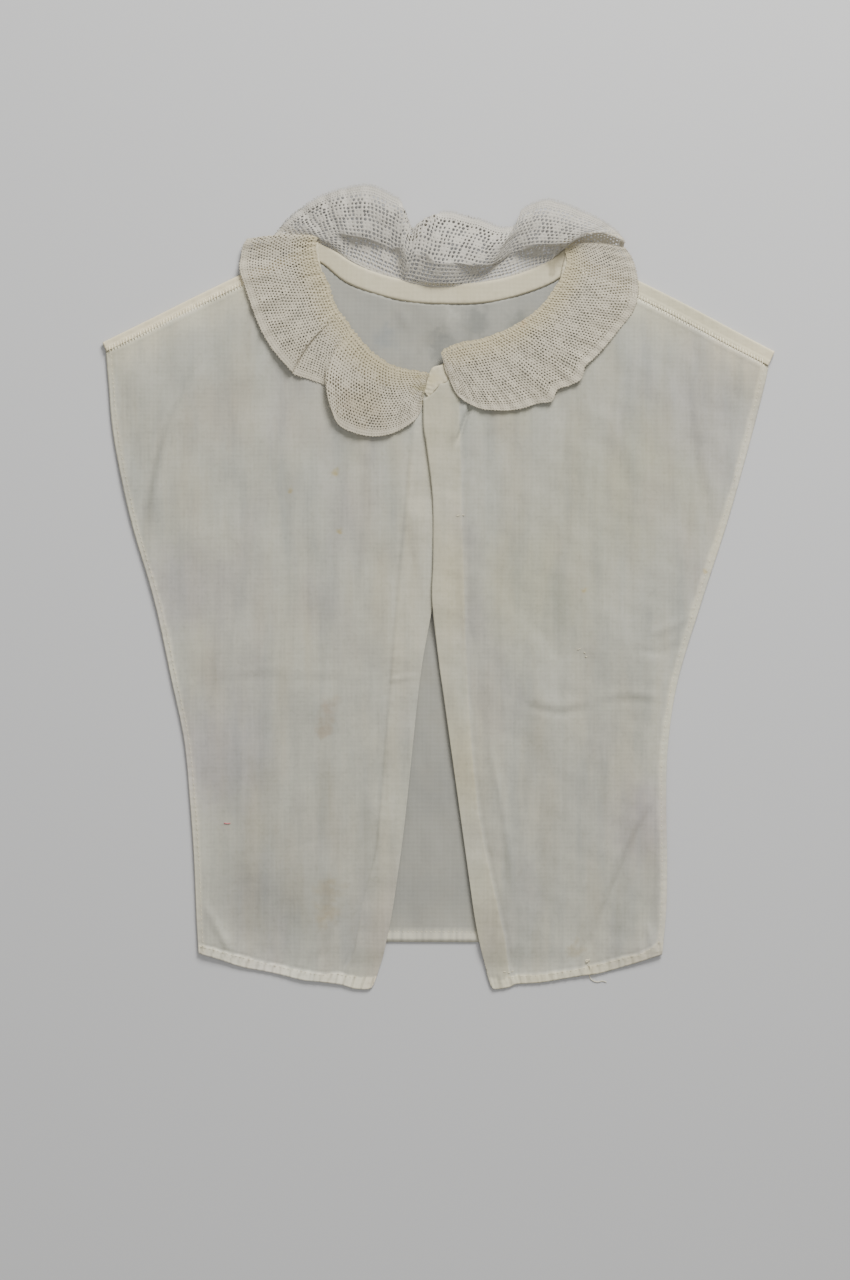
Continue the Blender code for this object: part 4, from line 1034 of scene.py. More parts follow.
# Lobes behind the neck that lie lower: first and last section, share of the roll, rise at .2, and
# shares of the heights at .2, .4 and .7.
LOWER_LOBES = ((37, 45, 0.55, 0.3, 0.8, 0.8, 0.86), (63, 72, 0.6, 0.0, 1.0, 0.85, 0.9))
# A row for each section from the left front end to the right: neck x, y, edge x, y, bow of the
# middle, how far the edge is tucked under, how far the middle rolls over, and the heights at 0, .2,
# .4, .7 and 1 of the width.
FRILL = (
    (-5.7, 128.7, -9.3, 114.3, 0.0, 0.0, 0.0, 3.1, 3.1, 3.1, 3.0, 2.9),
    (-11.1, 129.6, -11.1, 105.3, 0.0, 0.0, 0.0, 3.1, 3.2, 3.2, 3.3, 3.1),
    (-16.5, 130.5, -17.1, 98.7, 0.0, 0.0, 0.0, 3.1, 3.2, 3.4, 3.6, 3.3),
    (-22.5, 131.7, -27.9, 93.0, 0.0, 0.0, 0.0, 3.1, 3.3, 3.6, 3.9, 3.5),
    (-29.1, 134.1, -38.7, 91.2, 0.0, 0.0, 0.0, 3.1, 3.4, 3.8, 4.2, 3.7),
    (-35.7, 138.3, -49.5, 93.0, 1.0, 0.0, 0.0, 3.1, 3.4, 4.0, 4.6, 4.0),
    (-41.7, 143.1, -57.9, 96.6, 3.0, 0.0, 0.0, 3.1, 3.5, 4.2, 5.0, 4.5),
    (-46.5, 148.5, -61.8, 101.1, 6.0, 0.0, 0.0, 3.1, 3.6, 4.5, 5.4, 5.0),
    (-51.3, 154.5, -63.0, 104.1, 9.5, 0.0, 0.0, 3.1, 3.6, 4.6, 5.6, 5.4),
    (-51.0, 154.2, -60.3, 106.5, 8.0, 0.0, 0.0, 3.0, 3.3, 3.9, 4.7, 4.5),
    (-50.7, 153.9, -56.1, 110.7, 5.0, 0.0, 0.0, 3.0, 3.1, 3.3, 3.6, 3.5),
    (-51.9, 155.1, -60.3, 117.3, 7.0, 0.0, 0.0, 3.05, 3.15, 3.2, 3.2, 3.15),
    (-53.1, 156.6, -68.6, 122.2, 5.0, 0.0, 0.0, 3.05, 3.15, 3.2, 3.2, 3.2),
    (-54.3, 158.7, -77.0, 125.4, 3.5, 0.0, 0.0, 3.05, 3.15, 3.2, 3.2, 3.2),
    (-55.5, 160.5, -86.2, 128.4, 3.0, 0.0, 0.0, 3.05, 3.1, 3.15, 3.15, 3.1),
    (-56.7, 162.3, -88.0, 131.6, 3.0, 0.0, 0.0, 3.0, 3.05, 3.1, 3.1, 3.1),
    (-57.3, 162.9, -87.4, 135.5, 3.0, 0.0, 0.0, 3.0, 3.1, 3.1, 3.1, 3.1),
    (-57.9, 163.5, -87.0, 133.4, 3.5, 0.0, 0.0, 3.0, 3.3, 3.5, 3.5, 3.4),
    (-58.5, 164.1, -87.6, 130.2, 3.2, 0.0, 0.0, 3.05, 3.6, 4.2, 4.4, 4.0),
    (-59.7, 165.9, -90.9, 133.5, 2.5, 0.0, 0.0, 3.1, 3.7, 4.3, 4.7, 4.3),
    (-61.5, 168.3, -95.7, 138.9, 1.5, 0.0, 0.0, 3.1, 3.5, 4.0, 4.4, 4.0),
    (-63.0, 172.5, -100.5, 145.2, 1.0, 0.0, 0.0, 3.1, 3.4, 3.6, 3.8, 3.5),
    (-64.5, 176.7, -105.3, 153.3, 0.5, 0.0, 0.0, 3.1, 3.3, 3.5, 3.5, 3.3),
    (-65.7, 181.5, -109.5, 162.9, 0.0, 0.0, 0.0, 3.1, 3.3, 3.4, 3.5, 3.2),
    (-68.1, 186.3, -113.1, 173.1, 0.0, 0.0, 0.0, 3.1, 3.2, 3.3, 3.4, 3.1),
    (-70.8, 191.1, -116.1, 182.1, 0.0, 0.0, 0.0, 3.1, 3.2, 3.3, 3.3, 3.0),
    (-72.6, 196.5, -118.8, 191.1, 0.0, 0.0, 0.0, 3.1, 3.2, 3.3, 3.2, 3.0),
    (-73.8, 201.9, -118.2, 198.9, 0.0, 0.0, 0.0, 3.1, 3.2, 3.3, 3.2, 3.0),
    (-73.8, 206.7, -117.0, 204.9, 0.5, 0.0, 0.0, 3.1, 3.3, 3.5, 3.5, 3.2),
    (-72.6, 210.3, -114.6, 208.8, 1.6, 0.0, 0.0, 3.1, 3.5, 3.8, 3.8, 3.4),
    (-72.0, 210.9, -113.1, 208.2, 1.2, 0.0, 0.0, 2.6, 2.8, 3.0, 3.0, 2.7),
    (-70.8, 209.1, -108.3, 201.9, 0.0, 0.0, 0.0, 1.9, 1.8, 1.7, 1.6, 1.6),
    (-70.5, 207.3, -103.5, 203.1, 0.0, 0.0, 0.0, 1.2, 1.1, 1.0, 0.9, 0.9),
    (-69.9, 207.3, -100.5, 209.1, 0.0, 0.0, 0.0, 0.9, 0.9, 0.9, 0.8, 0.6),
    (-68.7, 207.0, -97.5, 212.7, 0.0, 0.0, 0.0, 0.7, 1.0, 1.2, 1.0, 0.5),
    (-66.9, 206.1, -92.7, 218.1, 0.0, 0.0, 0.0, 0.5, 1.8, 2.2, 1.6, 0.6),
    (-64.5, 204.9, -86.7, 223.8, 0.0, 0.0, 0.0, 0.5, 3.0, 3.8, 2.8, 0.8),
    (-61.5, 203.4, -79.5, 229.2, 0.0, 0.0, 0.0, 0.5, 3.8, 5.0, 4.0, 1.4),
    (-58.5, 201.9, -71.4, 234.0, 0.0, 0.0, 0.06, 0.5, 3.6, 5.6, 5.2, 2.2),
    (-55.5, 200.4, -64.5, 236.7, 0.0, 0.0, 0.1, 0.5, 2.6, 6.0, 6.2, 3.0),
    (-51.9, 198.6, -57.3, 238.8, 0.0, 0.0, 0.13, 0.5, 1.2, 6.2, 6.8, 3.8),
    (-48.3, 196.8, -49.5, 240.3, 0.0, 0.0, 0.14, 0.5, 0.8, 6.0, 7.2, 4.4),
    (-44.7, 195.0, -42.0, 240.9, 0.0, 0.0, 0.14, 0.5, 0.6, 5.2, 7.4, 4.8),
    (-40.5, 193.2, -36.6, 239.4, 0.0, 0.0, 0.14, 0.5, 0.5, 4.2, 7.6, 5.0),
    (-36.3, 191.4, -31.5, 236.7, 0.0, 0.0, 0.13, 0.5, 0.5, 3.2, 7.4, 5.2),
    (-32.1, 189.6, -27.3, 234.6, 0.0, 0.0, 0.12, 0.5, 0.5, 2.4, 7.0, 5.4),
    (-28.5, 188.1, -23.7, 232.8, 0.0, 0.2, 0.1, 0.5, 0.7, 2.6, 6.0, 5.0),
    (-25.5, 186.9, -20.7, 227.1, 0.0, 0.6, 0.06, 0.5, 1.2, 4.0, 5.4, 4.2),
    (-23.1, 186.0, -17.7, 221.1, 0.0, 1.0, 0.0, 0.5, 2.6, 5.4, 5.0, 3.0),
    (-20.7, 185.1, -15.3, 216.3, 0.0, 1.0, 0.0, 0.5, 4.4, 6.4, 5.0, 2.6),
    (-17.7, 184.2, -10.5, 219.6, 0.0, 1.0, 0.05, 0.5, 5.6, 7.2, 6.0, 2.8),
    (-14.1, 183.3, -3.9, 223.5, 0.0, 0.7, 0.08, 0.5, 6.6, 8.2, 6.6, 2.8),
    (-9.9, 182.7, 0.9, 225.0, 0.0, 0.3, 0.09, 0.5, 7.6, 9.2, 7.0, 2.6),
    (-5.7, 182.1, 5.1, 225.3, 0.0, 0.0, 0.09, 0.5, 8.8, 9.6, 7.2, 2.0),
    (-1.5, 181.8, 10.5, 224.4, 0.0, 0.0, 0.09, 0.5, 8.8, 9.4, 7.0, 1.6),
    (3.3, 181.8, 16.5, 222.9, 0.0, 0.0, 0.09, 0.5, 8.0, 8.8, 6.4, 1.4),
    (8.1, 181.8, 23.1, 221.1, 0.0, 0.0, 0.09, 0.5, 6.5, 8.2, 6.0, 1.4),
    (12.3, 182.1, 29.7, 218.7, 0.0, 0.0, 0.09, 0.5, 4.5, 7.6, 6.0, 1.6),
    (16.5, 182.7, 35.7, 216.6, 0.0, 0.0, 0.1, 0.5, 2.4, 6.8, 6.4, 2.0),
    (21.3, 183.3, 41.1, 215.7, 0.0, 0.0, 0.11, 0.5, 1.0, 5.5, 7.0, 2.8),
    (26.1, 184.2, 45.6, 216.9, 0.0, 0.0, 0.13, 0.5, 0.7, 3.8, 7.4, 4.2),
    (30.3, 185.1, 48.0, 221.7, 0.0, 0.0, 0.14, 0.5, 0.6, 2.0, 7.6, 5.2),
    (34.5, 186.0, 50.1, 225.9, 0.0, 0.0, 0.12, 0.5, 0.6, 1.2, 7.0, 5.4),
    (38.7, 187.2, 53.1, 228.3, 0.0, 0.0, 0.1, 0.5, 0.6, 2.2, 7.6, 5.8),
    (43.5, 188.4, 57.9, 230.4, 0.0, 0.0, 0.1, 0.5, 0.6, 4.2, 8.4, 6.2),
    (48.3, 190.2, 63.9, 231.9, 0.0, 0.0, 0.11, 0.5, 0.7, 6.4, 9.0, 6.4),
    (53.1, 192.0, 68.1, 231.6, 0.0, 0.0, 0.12, 0.5, 1.0, 8.0, 9.4, 6.4),
    (57.9, 193.8, 72.9, 230.1, 0.0, 0.0, 0.13, 0.5, 1.6, 9.0, 9.6, 6.4),
    (62.6, 194.9, 78.9, 228.0, 0.0, 0.0, 0.13, 0.5, 2.2, 9.2, 9.5, 6.3),
    (66.0, 196.4, 86.1, 225.0, 0.0, 0.0, 0.12, 0.5, 3.0, 9.0, 9.2, 6.2),
    (68.8, 198.1, 93.3, 221.7, 0.0, 0.0, 0.1, 0.6, 3.8, 8.6, 9.0, 6.0),
    (70.8, 200.0, 99.9, 218.4, -1.0, 0.0, 0.07, 0.8, 4.6, 8.2, 8.6, 5.8),
    (72.2, 202.0, 105.3, 214.5, -2.5, 0.0, 0.04, 1.2, 5.0, 7.8, 8.2, 5.4),
    (72.8, 204.0, 108.9, 210.9, -4.5, 0.0, 0.0, 1.8, 5.4, 7.4, 7.6, 5.2),
    (73.0, 206.0, 111.3, 207.6, -6.0, 0.0, 0.0, 2.4, 5.6, 7.0, 7.0, 5.0),
    (72.0, 207.0, 111.3, 206.4, -4.8, 0.0, 0.0, 2.4, 4.0, 4.4, 4.4, 3.8),
    (72.3, 206.4, 111.0, 205.2, -3.2, 0.0, 0.0, 2.3, 2.6, 2.6, 2.6, 2.8),
    (72.9, 206.4, 111.3, 204.3, -1.6, 0.0, 0.0, 2.6, 2.6, 2.6, 2.7, 2.7),
    (73.8, 207.3, 112.2, 203.1, -0.6, 0.0, 0.0, 3.1, 3.5, 3.9, 3.8, 3.4),
    (75.9, 203.1, 114.9, 199.5, 0.0, 0.0, 0.0, 3.1, 3.4, 3.7, 3.6, 3.3),
    (77.1, 198.3, 117.3, 193.5, 0.0, 0.0, 0.0, 3.1, 3.3, 3.5, 3.4, 3.1),
    (76.8, 192.9, 119.1, 185.1, 0.0, 0.0, 0.0, 3.1, 3.2, 3.3, 3.3, 3.0),
    (74.1, 186.9, 119.4, 176.7, 0.0, 0.0, 0.0, 3.1, 3.2, 3.3, 3.4, 3.1),
    (70.8, 181.5, 117.0, 167.7, 0.0, 0.0, 0.0, 3.1, 3.2, 3.4, 3.6, 3.3),
    (67.5, 176.7, 113.7, 162.3, 0.0, 0.0, 0.0, 3.1, 3.2, 3.5, 3.8, 3.5),
    (64.2, 171.9, 108.3, 155.7, 0.0, 0.0, 0.0, 3.1, 3.2, 3.4, 3.5, 3.3),
    (60.3, 168.0, 103.5, 149.7, 0.0, 0.0, 0.0, 3.1, 3.2, 3.5, 3.7, 3.4),
    (56.4, 164.4, 98.4, 143.7, 0.0, 0.0, 0.0, 3.1, 3.3, 3.6, 3.9, 3.6),
    (51.9, 161.4, 93.0, 138.0, 0.0, 0.0, 0.0, 3.1, 3.3, 3.7, 4.2, 4.0),
    (47.7, 158.7, 87.6, 132.9, 0.0, 0.0, 0.0, 3.1, 3.4, 4.0, 4.8, 4.9),
    (43.5, 156.3, 85.5, 125.7, 0.0, 0.0, 0.0, 3.1, 3.4, 4.0, 4.9, 5.2),
    (39.9, 154.5, 78.9, 121.8, 0.0, 0.0, 0.0, 3.1, 3.3, 3.6, 4.0, 4.0),
    (35.1, 152.7, 71.1, 119.1, 0.0, 0.0, 0.0, 3.1, 3.3, 3.6, 4.2, 4.4),
    (30.3, 150.9, 67.8, 112.2, 0.0, 0.0, 0.0, 3.1, 3.4, 3.8, 4.5, 4.6),
    (24.9, 149.1, 59.7, 111.0, 0.0, 0.0, 0.0, 3.1, 3.3, 3.5, 3.7, 3.5),
    (19.5, 148.2, 51.3, 108.3, 0.0, 0.0, 0.0, 3.1, 3.2, 3.4, 3.6, 3.4),
    (14.7, 147.3, 42.9, 106.8, 0.0, 0.0, 0.0, 3.1, 3.2, 3.4, 3.7, 3.5),
    (10.5, 146.1, 34.5, 106.8, 0.0, 0.0, 0.0, 3.1, 3.3, 3.6, 4.0, 3.9),
    (6.9, 144.6, 25.5, 107.7, 0.0, 0.0, 0.0, 3.1, 3.3, 3.5, 3.8, 3.6),
    (4.5, 143.4, 17.1, 111.3, 0.0, 0.0, 0.0, 3.1, 3.2, 3.4, 3.7, 3.7),
    (3.0, 142.5, 11.1, 116.1, 0.0, 0.0, 0.0, 3.1, 3.2, 3.3, 3.5, 3.4),
    (2.1, 141.6, 7.2, 123.3, 0.0, 0.0, 0.0, 3.1, 3.2, 3.2, 3.3, 3.1),
    (1.5, 140.7, 4.2, 130.5, 0.0, 0.0, 0.0, 3.1, 3.1, 3.1, 3.1, 3.0),
)


def behind_neck(k):
    """One for the sections behind the neck, nothing for those along the fronts."""
    return ease((k - BACK_FROM) / 3) * ease((BACK_TO - k) / 3)


frill = np.array(FRILL)
for first, last, *lifts in EDGE_LIFTS:
    frill[first:last + 1, 9:] += lifts
frill[SETTLED_FROM:, 10:] += (SETTLED_TO - frill[SETTLED_FROM:, 10:]) * SETTLED_BY
for first, last, less_roll, rise, *lower in LOWER_LOBES:
    frill[first:last + 1, 6] *= less_roll
    frill[first:last + 1, 8:11] *= lower
    frill[first:last + 1, 8] += rise
LAST_SECTION = len(frill) - 1.0
toward_edge = frill[:, 2:4] - frill[:, :2]
toward_edge /= np.linalg.norm(toward_edge, axis=1, keepdims=True)
frill[:, :2] -= toward_edge * BACK_SHIFT * behind_neck(np.arange(len(frill)))[:, None]


def bare_frill(k, t):
    """The lie of the lace at section k and share t from neck to edge, without small pleats."""
    row = curve_at(frill, k)
    nx, ny, ex, ey, bow, tuck, roll = (row[..., c] for c in range(7))
    heights = row[..., 7:]
    slopes = np.gradient(heights, HEIGHTS_AT, axis=-1)
    at = np.clip(np.searchsorted(HEIGHTS_AT, t, side="right") - 1, 0, 3)
    span = HEIGHTS_AT[at + 1] - HEIGHTS_AT[at]
    low, high, low_slope, high_slope = (
        np.take_along_axis(table, i[..., None], -1)[..., 0]
        for table, i in ((heights, at), (heights, at + 1), (slopes, at), (slopes, at + 1)))
    z = smooth_step(low, span * low_slope, high, span * high_slope, (t - HEIGHTS_AT[at]) / span)
    tuck = np.clip(tuck, 0, 1)
    over = np.maximum(t - TUCK_FROM, 0)
    out = (t - 2 * tuck * over) / (TUCK_FROM + (1 - TUCK_FROM) * np.maximum(0.0, 1 - 2 * tuck))
    z = np.maximum(z - tuck * TUCK_DEPTH * ease(over / (1 - TUCK_FROM)), 0.3)
    out = out + roll * np.sin(np.clip((t - ROLL_FROM) / ROLL_LONG, 0, 1) * 2 * math.pi)
    long = np.hypot(ex - nx, ey - ny)
    shift = bow * 4 * t * (1 - t)
    x = nx + (ex - nx) * out + (ey - ny) / long * shift
    y = ny + (ey - ny) * out - (ex - nx) / long * shift
    z = z + np.where(k > BACK_TO, laps_over(x, y), 0.0)
    return np.stack((x, y, z), -1)


fine_k = np.linspace(0, LAST_SECTION, FRILL_POINTS)
neck_run = lengths_along(bare_frill(fine_k, np.zeros_like(fine_k)))
edge_run = lengths_along(bare_frill(fine_k, np.full_like(fine_k, 0.9)))

# The strip is as wide along each section however steeply it lies, so its depth is measured there.
share_k = np.linspace(0, LAST_SECTION, int(LAST_SECTION) * 12 + 1)
share_t = np.linspace(0, 1, DEPTH_STEPS)
laid = bare_frill(np.repeat(share_k[:, None], DEPTH_STEPS, 1), np.repeat(share_t[None], len(share_k), 0))
deep = np.array([lengths_along(section) for section in laid])
deep /= deep[:, -1:]
share_of = np.array([np.interp(share_t, row, share_t) for row in deep])


def depth_share(k, s):
    """The share t of a section that lies at share s of the strip's width."""
    a = np.clip(k / LAST_SECTION * (len(share_k) - 1), 0, len(share_k) - 1.001)
    b = np.clip(s * (DEPTH_STEPS - 1), 0, DEPTH_STEPS - 1.001)
    i, j = a.astype(int), b.astype(int)
    u, v = a - i, b - j
    return ((share_of[i, j] * (1 - v) + share_of[i, j + 1] * v) * (1 - u)
            + (share_of[i + 1, j] * (1 - v) + share_of[i + 1, j + 1] * v) * u)


def frill_at(k, s):
    """The lie of the lace with the small pleats that its gathering thread draws up."""
    t = depth_share(k, s)
    step = 0.02
    before, after = np.clip(k - step, 0, LAST_SECTION), np.clip(k + step, 0, LAST_SECTION)
    along = bare_frill(after, t) - bare_frill(before, t)
    outward = bare_frill(k, np.clip(t + step, 0, 1)) - bare_frill(k, np.clip(t - step, 0, 1))
    normal = unit(np.cross(along, outward))
    run, wide = np.interp(k, fine_k, neck_run), np.interp(k, fine_k, edge_run)
    hidden = behind_neck(k)
    calmer = 1 - RIGHT_CALMER * ease((k - RIGHT_FROM) / 3.0)

    # Pleats start at the gathering thread and die out past the middle of the strip.
    phase = run * 2 * math.pi / PLEAT_EVERY + 1.9 * np.sin(run * 0.23) + 1.3 * np.sin(run * 0.71)
    deepest = PLEAT_DEEP * calmer * (0.55 + 0.45 * np.sin(run * 0.37 + 1.0) * np.sin(run * 0.113))
    pleat = (deepest * np.sin(phase) * (0.35 + 0.65 * ease(s / 0.08)) * (1 - ease(s / 0.6))
             + 0.10 * puckers(run, *FINE_PLEATS) * (1 - ease(s / 0.22))) * (1 - 0.8 * hidden)
    ruck = ((0.34 * puckers(run, *RUCKS) + 0.30 * puckers(run, *FINE_RUCKS) - 0.5)
            * (1 - ease(s / 0.09)) * (1 - 0.6 * hidden) * (0.4 + 0.6 * calmer))

    # The free edge has longer, softer waves.
    wave = 0.38 * calmer * puckers(wide, *EDGE_WAVES) * ease((s - 0.25) / 0.5)
    wave += 0.18 * puckers(wide, *EDGE_RIPPLES) * ease((s - 0.4) / 0.5)
    lifted = normal * (pleat + wave)[..., None] + unit(outward) * ruck[..., None]
    return bare_frill(k, t) + lifted, normal


def hole_sizes(kind, middle, spot, hidden, draw):
    """Half width and half height of each hole in a row, as shares of its cell, and its dots."""
    count = len(spot)
    off_edge = (1 - middle) * LACE_WIDE
    filled = np.zeros(count)
    for r, far in enumerate(DOT_ROWS):
        slide = (spot + (DOT_EVERY / 2 if r % 2 else 0.0)) % DOT_EVERY - DOT_EVERY / 2
        reach = np.sqrt((slide / (DOT_HALF_WIDE + BACK_DOT_MORE * hidden)) ** 2
                        + ((off_edge - far) / (DOT_HALF_TALL + BACK_DOT_MORE * hidden)) ** 2)
        filled = np.maximum(filled, (0.45 + 0.55 * hidden) * (1 - ease((reach - 0.65) / 0.65)))
    uneven = (1 + 0.12 * np.sin(spot * 0.31 + middle * 9) + 0.10 * np.sin(spot * 0.83 - middle * 17)
              + 0.10 * np.sin(spot * 0.117 + 4.0 * np.sin(middle * 5.0)))
    open_by = uneven * (0.97 + 0.23 * hidden) * (1 + 0.3 * hidden * (1 - ease((middle - 0.10) / 0.28)))
    holes = [draw.uniform(*span, count) * open_by for span in NET_HOLE]
    if kind == "net":
        drawn_in = (1 - 0.24 * (1 - ease(middle / 0.25)) * (1 - hidden)) * (1 - filled)
        holes = [hole * drawn_in for hole in holes]
    else:
        holes = [draw.uniform(*span, count) for span in (SLIT_HOLE if kind == "slit" else CLOSE_HOLE)]
    hole, tall_hole = (np.clip(hole, *limits) for hole, limits in zip(holes, HOLE_LIMITS))
    return hole, tall_hole, filled


def ring_faces(base, rings, sides, backward=False):
    """Faces between rings of points that follow each other, for many equal stacks of rings."""
    ring, here = np.arange(rings - 1)[None, :, None] * sides, np.arange(sides)[None, None, :]
    after = (here + 1) % sides
    corners = (base + ring + here, base + ring + after, base + ring + sides + after,
               base + ring + sides + here)
    return np.stack(corners[::-1] if backward else corners, -1).reshape(-1, 4)


def picots(low, high, draw, count):
    """The small thread loops along the free edge, left out where the edge is folded under."""
    k = np.linspace(low, high, EDGE_POINTS)
    run = lengths_along(frill_at(k, np.ones_like(k))[0])
    loops = int(run[-1] / PICOT_EVERY)
    at = (np.arange(loops) + 0.5) / loops * run[-1] + draw.uniform(-0.15, 0.15, loops)
    at = np.interp(at, run, k)
    for start, stop in HIDDEN_EDGE:
        at = at[(at < start) | (at > stop)]
    loops = len(at)
    root, normal = frill_at(at, np.ones_like(at))
    out = unit(root - frill_at(at, np.full_like(at, 0.97))[0])
    along = unit(frill_at(np.clip(at + 0.03, low, high), np.ones_like(at))[0]
                 - frill_at(np.clip(at - 0.03, low, high), np.ones_like(at))[0])
    hidden = behind_neck(at)
    long = draw.uniform(0.15, 0.6, loops) + draw.uniform(0.8, 1.3, loops) * hidden
    lean = draw.uniform(-0.4, 0.4, loops)
    bend = np.linspace(-0.12, 1.12, 8) * math.pi
    tube = np.linspace(0, 2 * math.pi, 5)[:4]
    across, ahead = np.cos(bend)[None, :, None], np.sin(bend)[None, :, None]
    centre = (root[:, None] + along[:, None] * PICOT_HALF * across
              + (out[:, None] + along[:, None] * lean[:, None, None]) * ahead * long[:, None, None])
    facing = along[:, None] * across + out[:, None] * ahead
    shell = (centre[:, :, None] + facing[:, :, None] * (PICOT_THICK * np.cos(tube))[None, None, :, None]
             + normal[:, None, None] * (PICOT_THICK * np.sin(tube))[None, None, :, None])
    base = count + np.arange(loops)[:, None, None] * len(bend) * len(tube)
    return shell.reshape(-1, 3), hidden, ring_faces(base, len(bend), len(tube), backward=True)


def lace_rows(low, high, rows, mesh_wide, seed):
    """Points, faces and tones of the lace from section low to high, one small cell at a time."""
    draw = np.random.default_rng(seed)
    points, faces, yellow, creamy, count = [], [], [], [], 0
    depth, cells_in = 0.0, {}
    angle = np.arctan2(CELL_CORNERS[:, 1], CELL_CORNERS[:, 0])
    for number, (tall, kind) in enumerate(rows):
        half_tall = tall / LACE_WIDE / 2
        middle = depth / LACE_WIDE + half_tall
        depth += tall
        k = np.linspace(low, high, ROW_POINTS)
        run = lengths_along(bare_frill(k, depth_share(k, np.full_like(k, middle))))
        if kind in ("net", "gather"):
            # The number of meshes changes only twice on the way out, as the strip spreads.
            zone = min(int(middle * MESH_ZONES), 2)
            if zone not in cells_in:
                cells_in[zone] = int(round(run[-1] / mesh_wide))
            cells = cells_in[zone]
        else:
            cells = int(round(run[-1] / {"slit": SLIT_CELL, "close": CLOSE_CELL}[kind]))
        ends = np.arange(cells + 1, dtype=float)
        if number % 2:
            ends = np.concatenate(([0], np.arange(cells) + 0.5, [cells]))
        ends[1:-1] += draw.uniform(-0.09, 0.09, len(ends) - 2)
        ends = np.interp(ends / cells * run[-1], run, k)
        mid_k, half_k = (ends[:-1] + ends[1:]) / 2, (ends[1:] - ends[:-1]) / 2
        n = len(mid_k)
        hidden = behind_neck(mid_k)
        hole, tall_hole, filled = hole_sizes(kind, middle, np.interp(mid_k, fine_k, edge_run), hidden, draw)
        skew = draw.uniform(-0.16, 0.16, (n, 2))
        raised = np.where(filled > 0.6, DOT_RAISED, 0.0)[:, None]
        blocks = []
        for grow, level in THREAD_RINGS:
            if grow is None:
                a, b = np.tile(CELL_CORNERS[:, 0], (n, 1)), np.tile(CELL_CORNERS[:, 1], (n, 1))
            else:
                a = skew[:, :1] + np.cos(angle) * np.minimum(hole[:, None] + grow, CELL_SHARE)
                b = skew[:, 1:] + np.sin(angle) * np.minimum(tall_hole[:, None] + grow, CELL_SHARE)
                level = level + raised * (level > 0)
            place, normal = frill_at(np.clip(mid_k[:, None] + a * half_k[:, None], low, high),
                                     middle + b * half_tall)
            blocks.append(place + normal * (level + 0.0 * a)[..., None])
        cell_points = len(THREAD_RINGS) * len(CELL_CORNERS)
        faces.append(ring_faces(count + np.arange(n)[:, None, None] * cell_points,
                                len(THREAD_RINGS), len(CELL_CORNERS)))
        points.append(np.stack(blocks, axis=1).reshape(-1, 3))
        yellow.append(np.repeat((1 - ease(middle / 0.42)) * (1 - 0.85 * hidden), cell_points))
        creamy.append(np.repeat(1 - hidden, cell_points))
        count += n * cell_points
    loops, edge_hidden, loop_faces = picots(low, high, draw, count)
    loop_points = len(loops) // len(edge_hidden)
    points.append(loops)
    faces.append(loop_faces)
    yellow.append(np.zeros(len(loops)))
    creamy.append(np.repeat(1 - edge_hidden, loop_points))
    return [np.concatenate(parts) for parts in (points, faces, yellow, creamy)]


lace_finish = cotton_finish("lace_thread", LACE_BACK, LACE_FRONT, LACE_CLOUDS, LACE_MARKS_AND_PAINTED_SHADE, seed=6.0)
for number, (name, low, high, rows, mesh_wide, strip_long, under) in enumerate(LACE_PARTS):
    points, faces, yellow, creamy = lace_rows(low, high, rows, mesh_wide, 11 + number)
    points[:, 2] = np.maximum(points[:, 2], LOWEST_LACE)
    lace = made_piece(name, points, faces.tolist(), lace_finish, yellow, creamy)
    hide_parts("lace_frill")


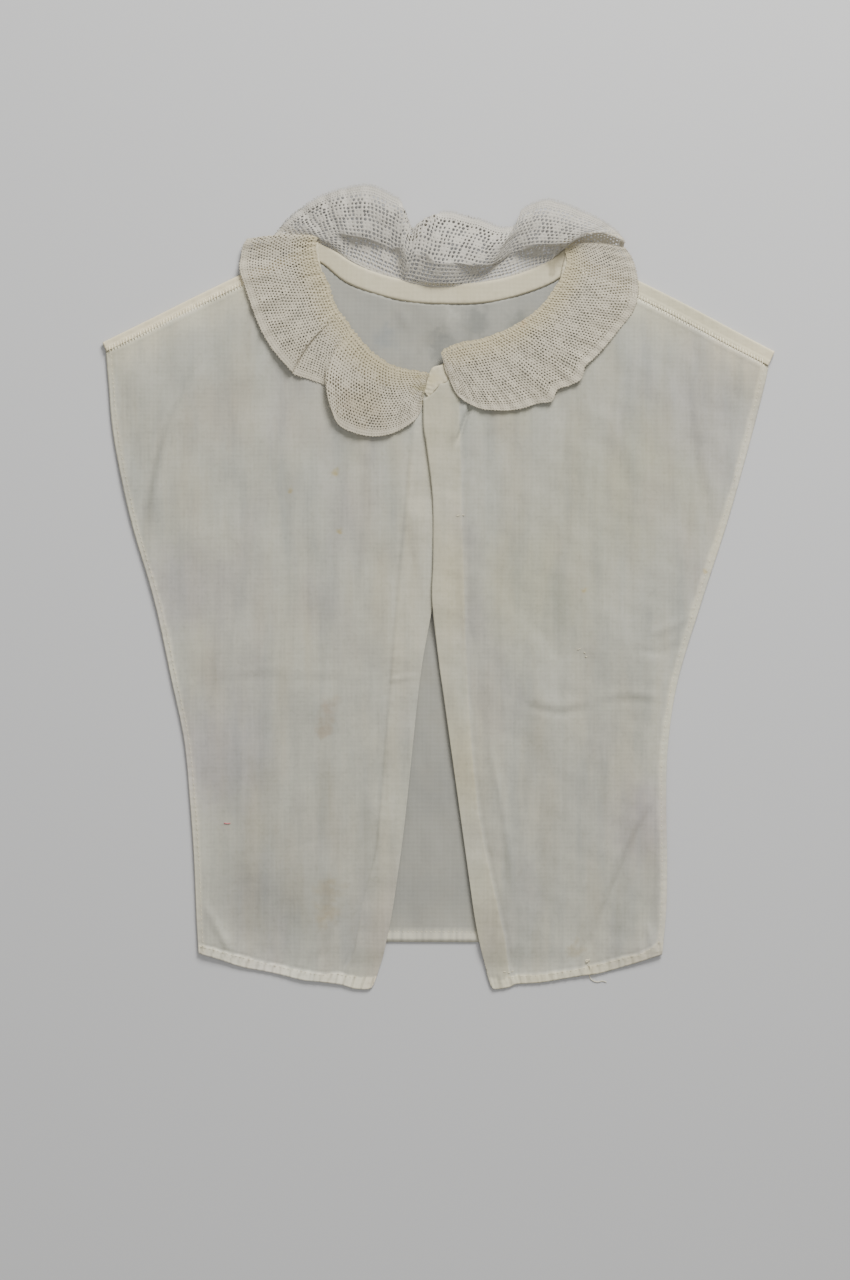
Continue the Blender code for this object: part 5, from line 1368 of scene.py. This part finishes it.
# The table. A plain pale surface under the garment, with no edge in the picture. It belongs to the
# stage and not to the garment. Its size is in metres.
TABLE_HALF = 3
TABLE_TONE = (0.58, 0.58, 0.58, 1.0)
TABLE_ROUGHNESS = 0.9
TABLE_GLOSS = 0.1
floor_mesh = bpy.data.meshes.new("table_top")
floor_mesh.from_pydata([(-TABLE_HALF, -TABLE_HALF, 0), (TABLE_HALF, -TABLE_HALF, 0),
                        (TABLE_HALF, TABLE_HALF, 0), (-TABLE_HALF, TABLE_HALF, 0)], [], [(0, 1, 2, 3)])
table_top = bpy.data.objects.new("table_top", floor_mesh)
bpy.context.collection.objects.link(table_top)
table_finish = bpy.data.materials.new("pale_table")
table_finish.use_nodes = True
table_shader = table_finish.node_tree.nodes["Principled BSDF"]
table_shader.inputs["Base Color"].default_value = TABLE_TONE
table_shader.inputs["Roughness"].default_value = TABLE_ROUGHNESS
table_shader.inputs["Specular IOR Level"].default_value = TABLE_GLOSS
floor_mesh.materials.append(table_finish)


# Light and camera. Broad soft daylight from beyond the neck end, with weaker light from above and
# from the hem's side, and a view straight down. Places and sizes are in metres, power in watts.
LAMPS = (("window", (0.60, 1.65, 1.05), 0.8, 72.0), ("ceiling", (0.1, -0.1, 2.4), 2.0, 13.0),
         ("bounce", (-0.9, -1.4, 1.1), 1.2, 3.0))
LAMP_COLOUR = (1.0, 0.995, 0.985)
ROOM_LIGHT = 0.26
CAMERA_HIGH = 1.8
CAMERA_OVER = (-0.0081, -0.0309)
PICTURE_TALL = 0.768
SENSOR = 36.0
for name, spot, size, watts in LAMPS:
    lamp = bpy.data.lights.new(name, "AREA")
    lamp.size = size
    lamp.energy = watts
    lamp.color = LAMP_COLOUR
    holder = bpy.data.objects.new(name, lamp)
    bpy.context.collection.objects.link(holder)
    holder.location = spot
    aim = -np.array(spot) / np.linalg.norm(spot)
    holder.rotation_mode = "XYZ"
    holder.rotation_euler = (math.acos(-aim[2]), 0.0, math.atan2(aim[1], aim[0]) - math.pi / 2)
world = bpy.data.worlds.new("soft_room")
world.use_nodes = True
background = world.node_tree.nodes["Background"]
background.inputs["Color"].default_value = (1.0, 1.0, 1.0, 1.0)
background.inputs["Strength"].default_value = ROOM_LIGHT
bpy.context.scene.world = world
eye = bpy.data.cameras.new("overhead")
eye.sensor_width = SENSOR
eye.lens = SENSOR * CAMERA_HIGH / PICTURE_TALL
camera = bpy.data.objects.new("overhead", eye)
camera.location = (*CAMERA_OVER, CAMERA_HIGH)
camera.rotation_euler = (0.0, 0.0, 0.0)
bpy.context.collection.objects.link(camera)
bpy.context.scene.camera = camera
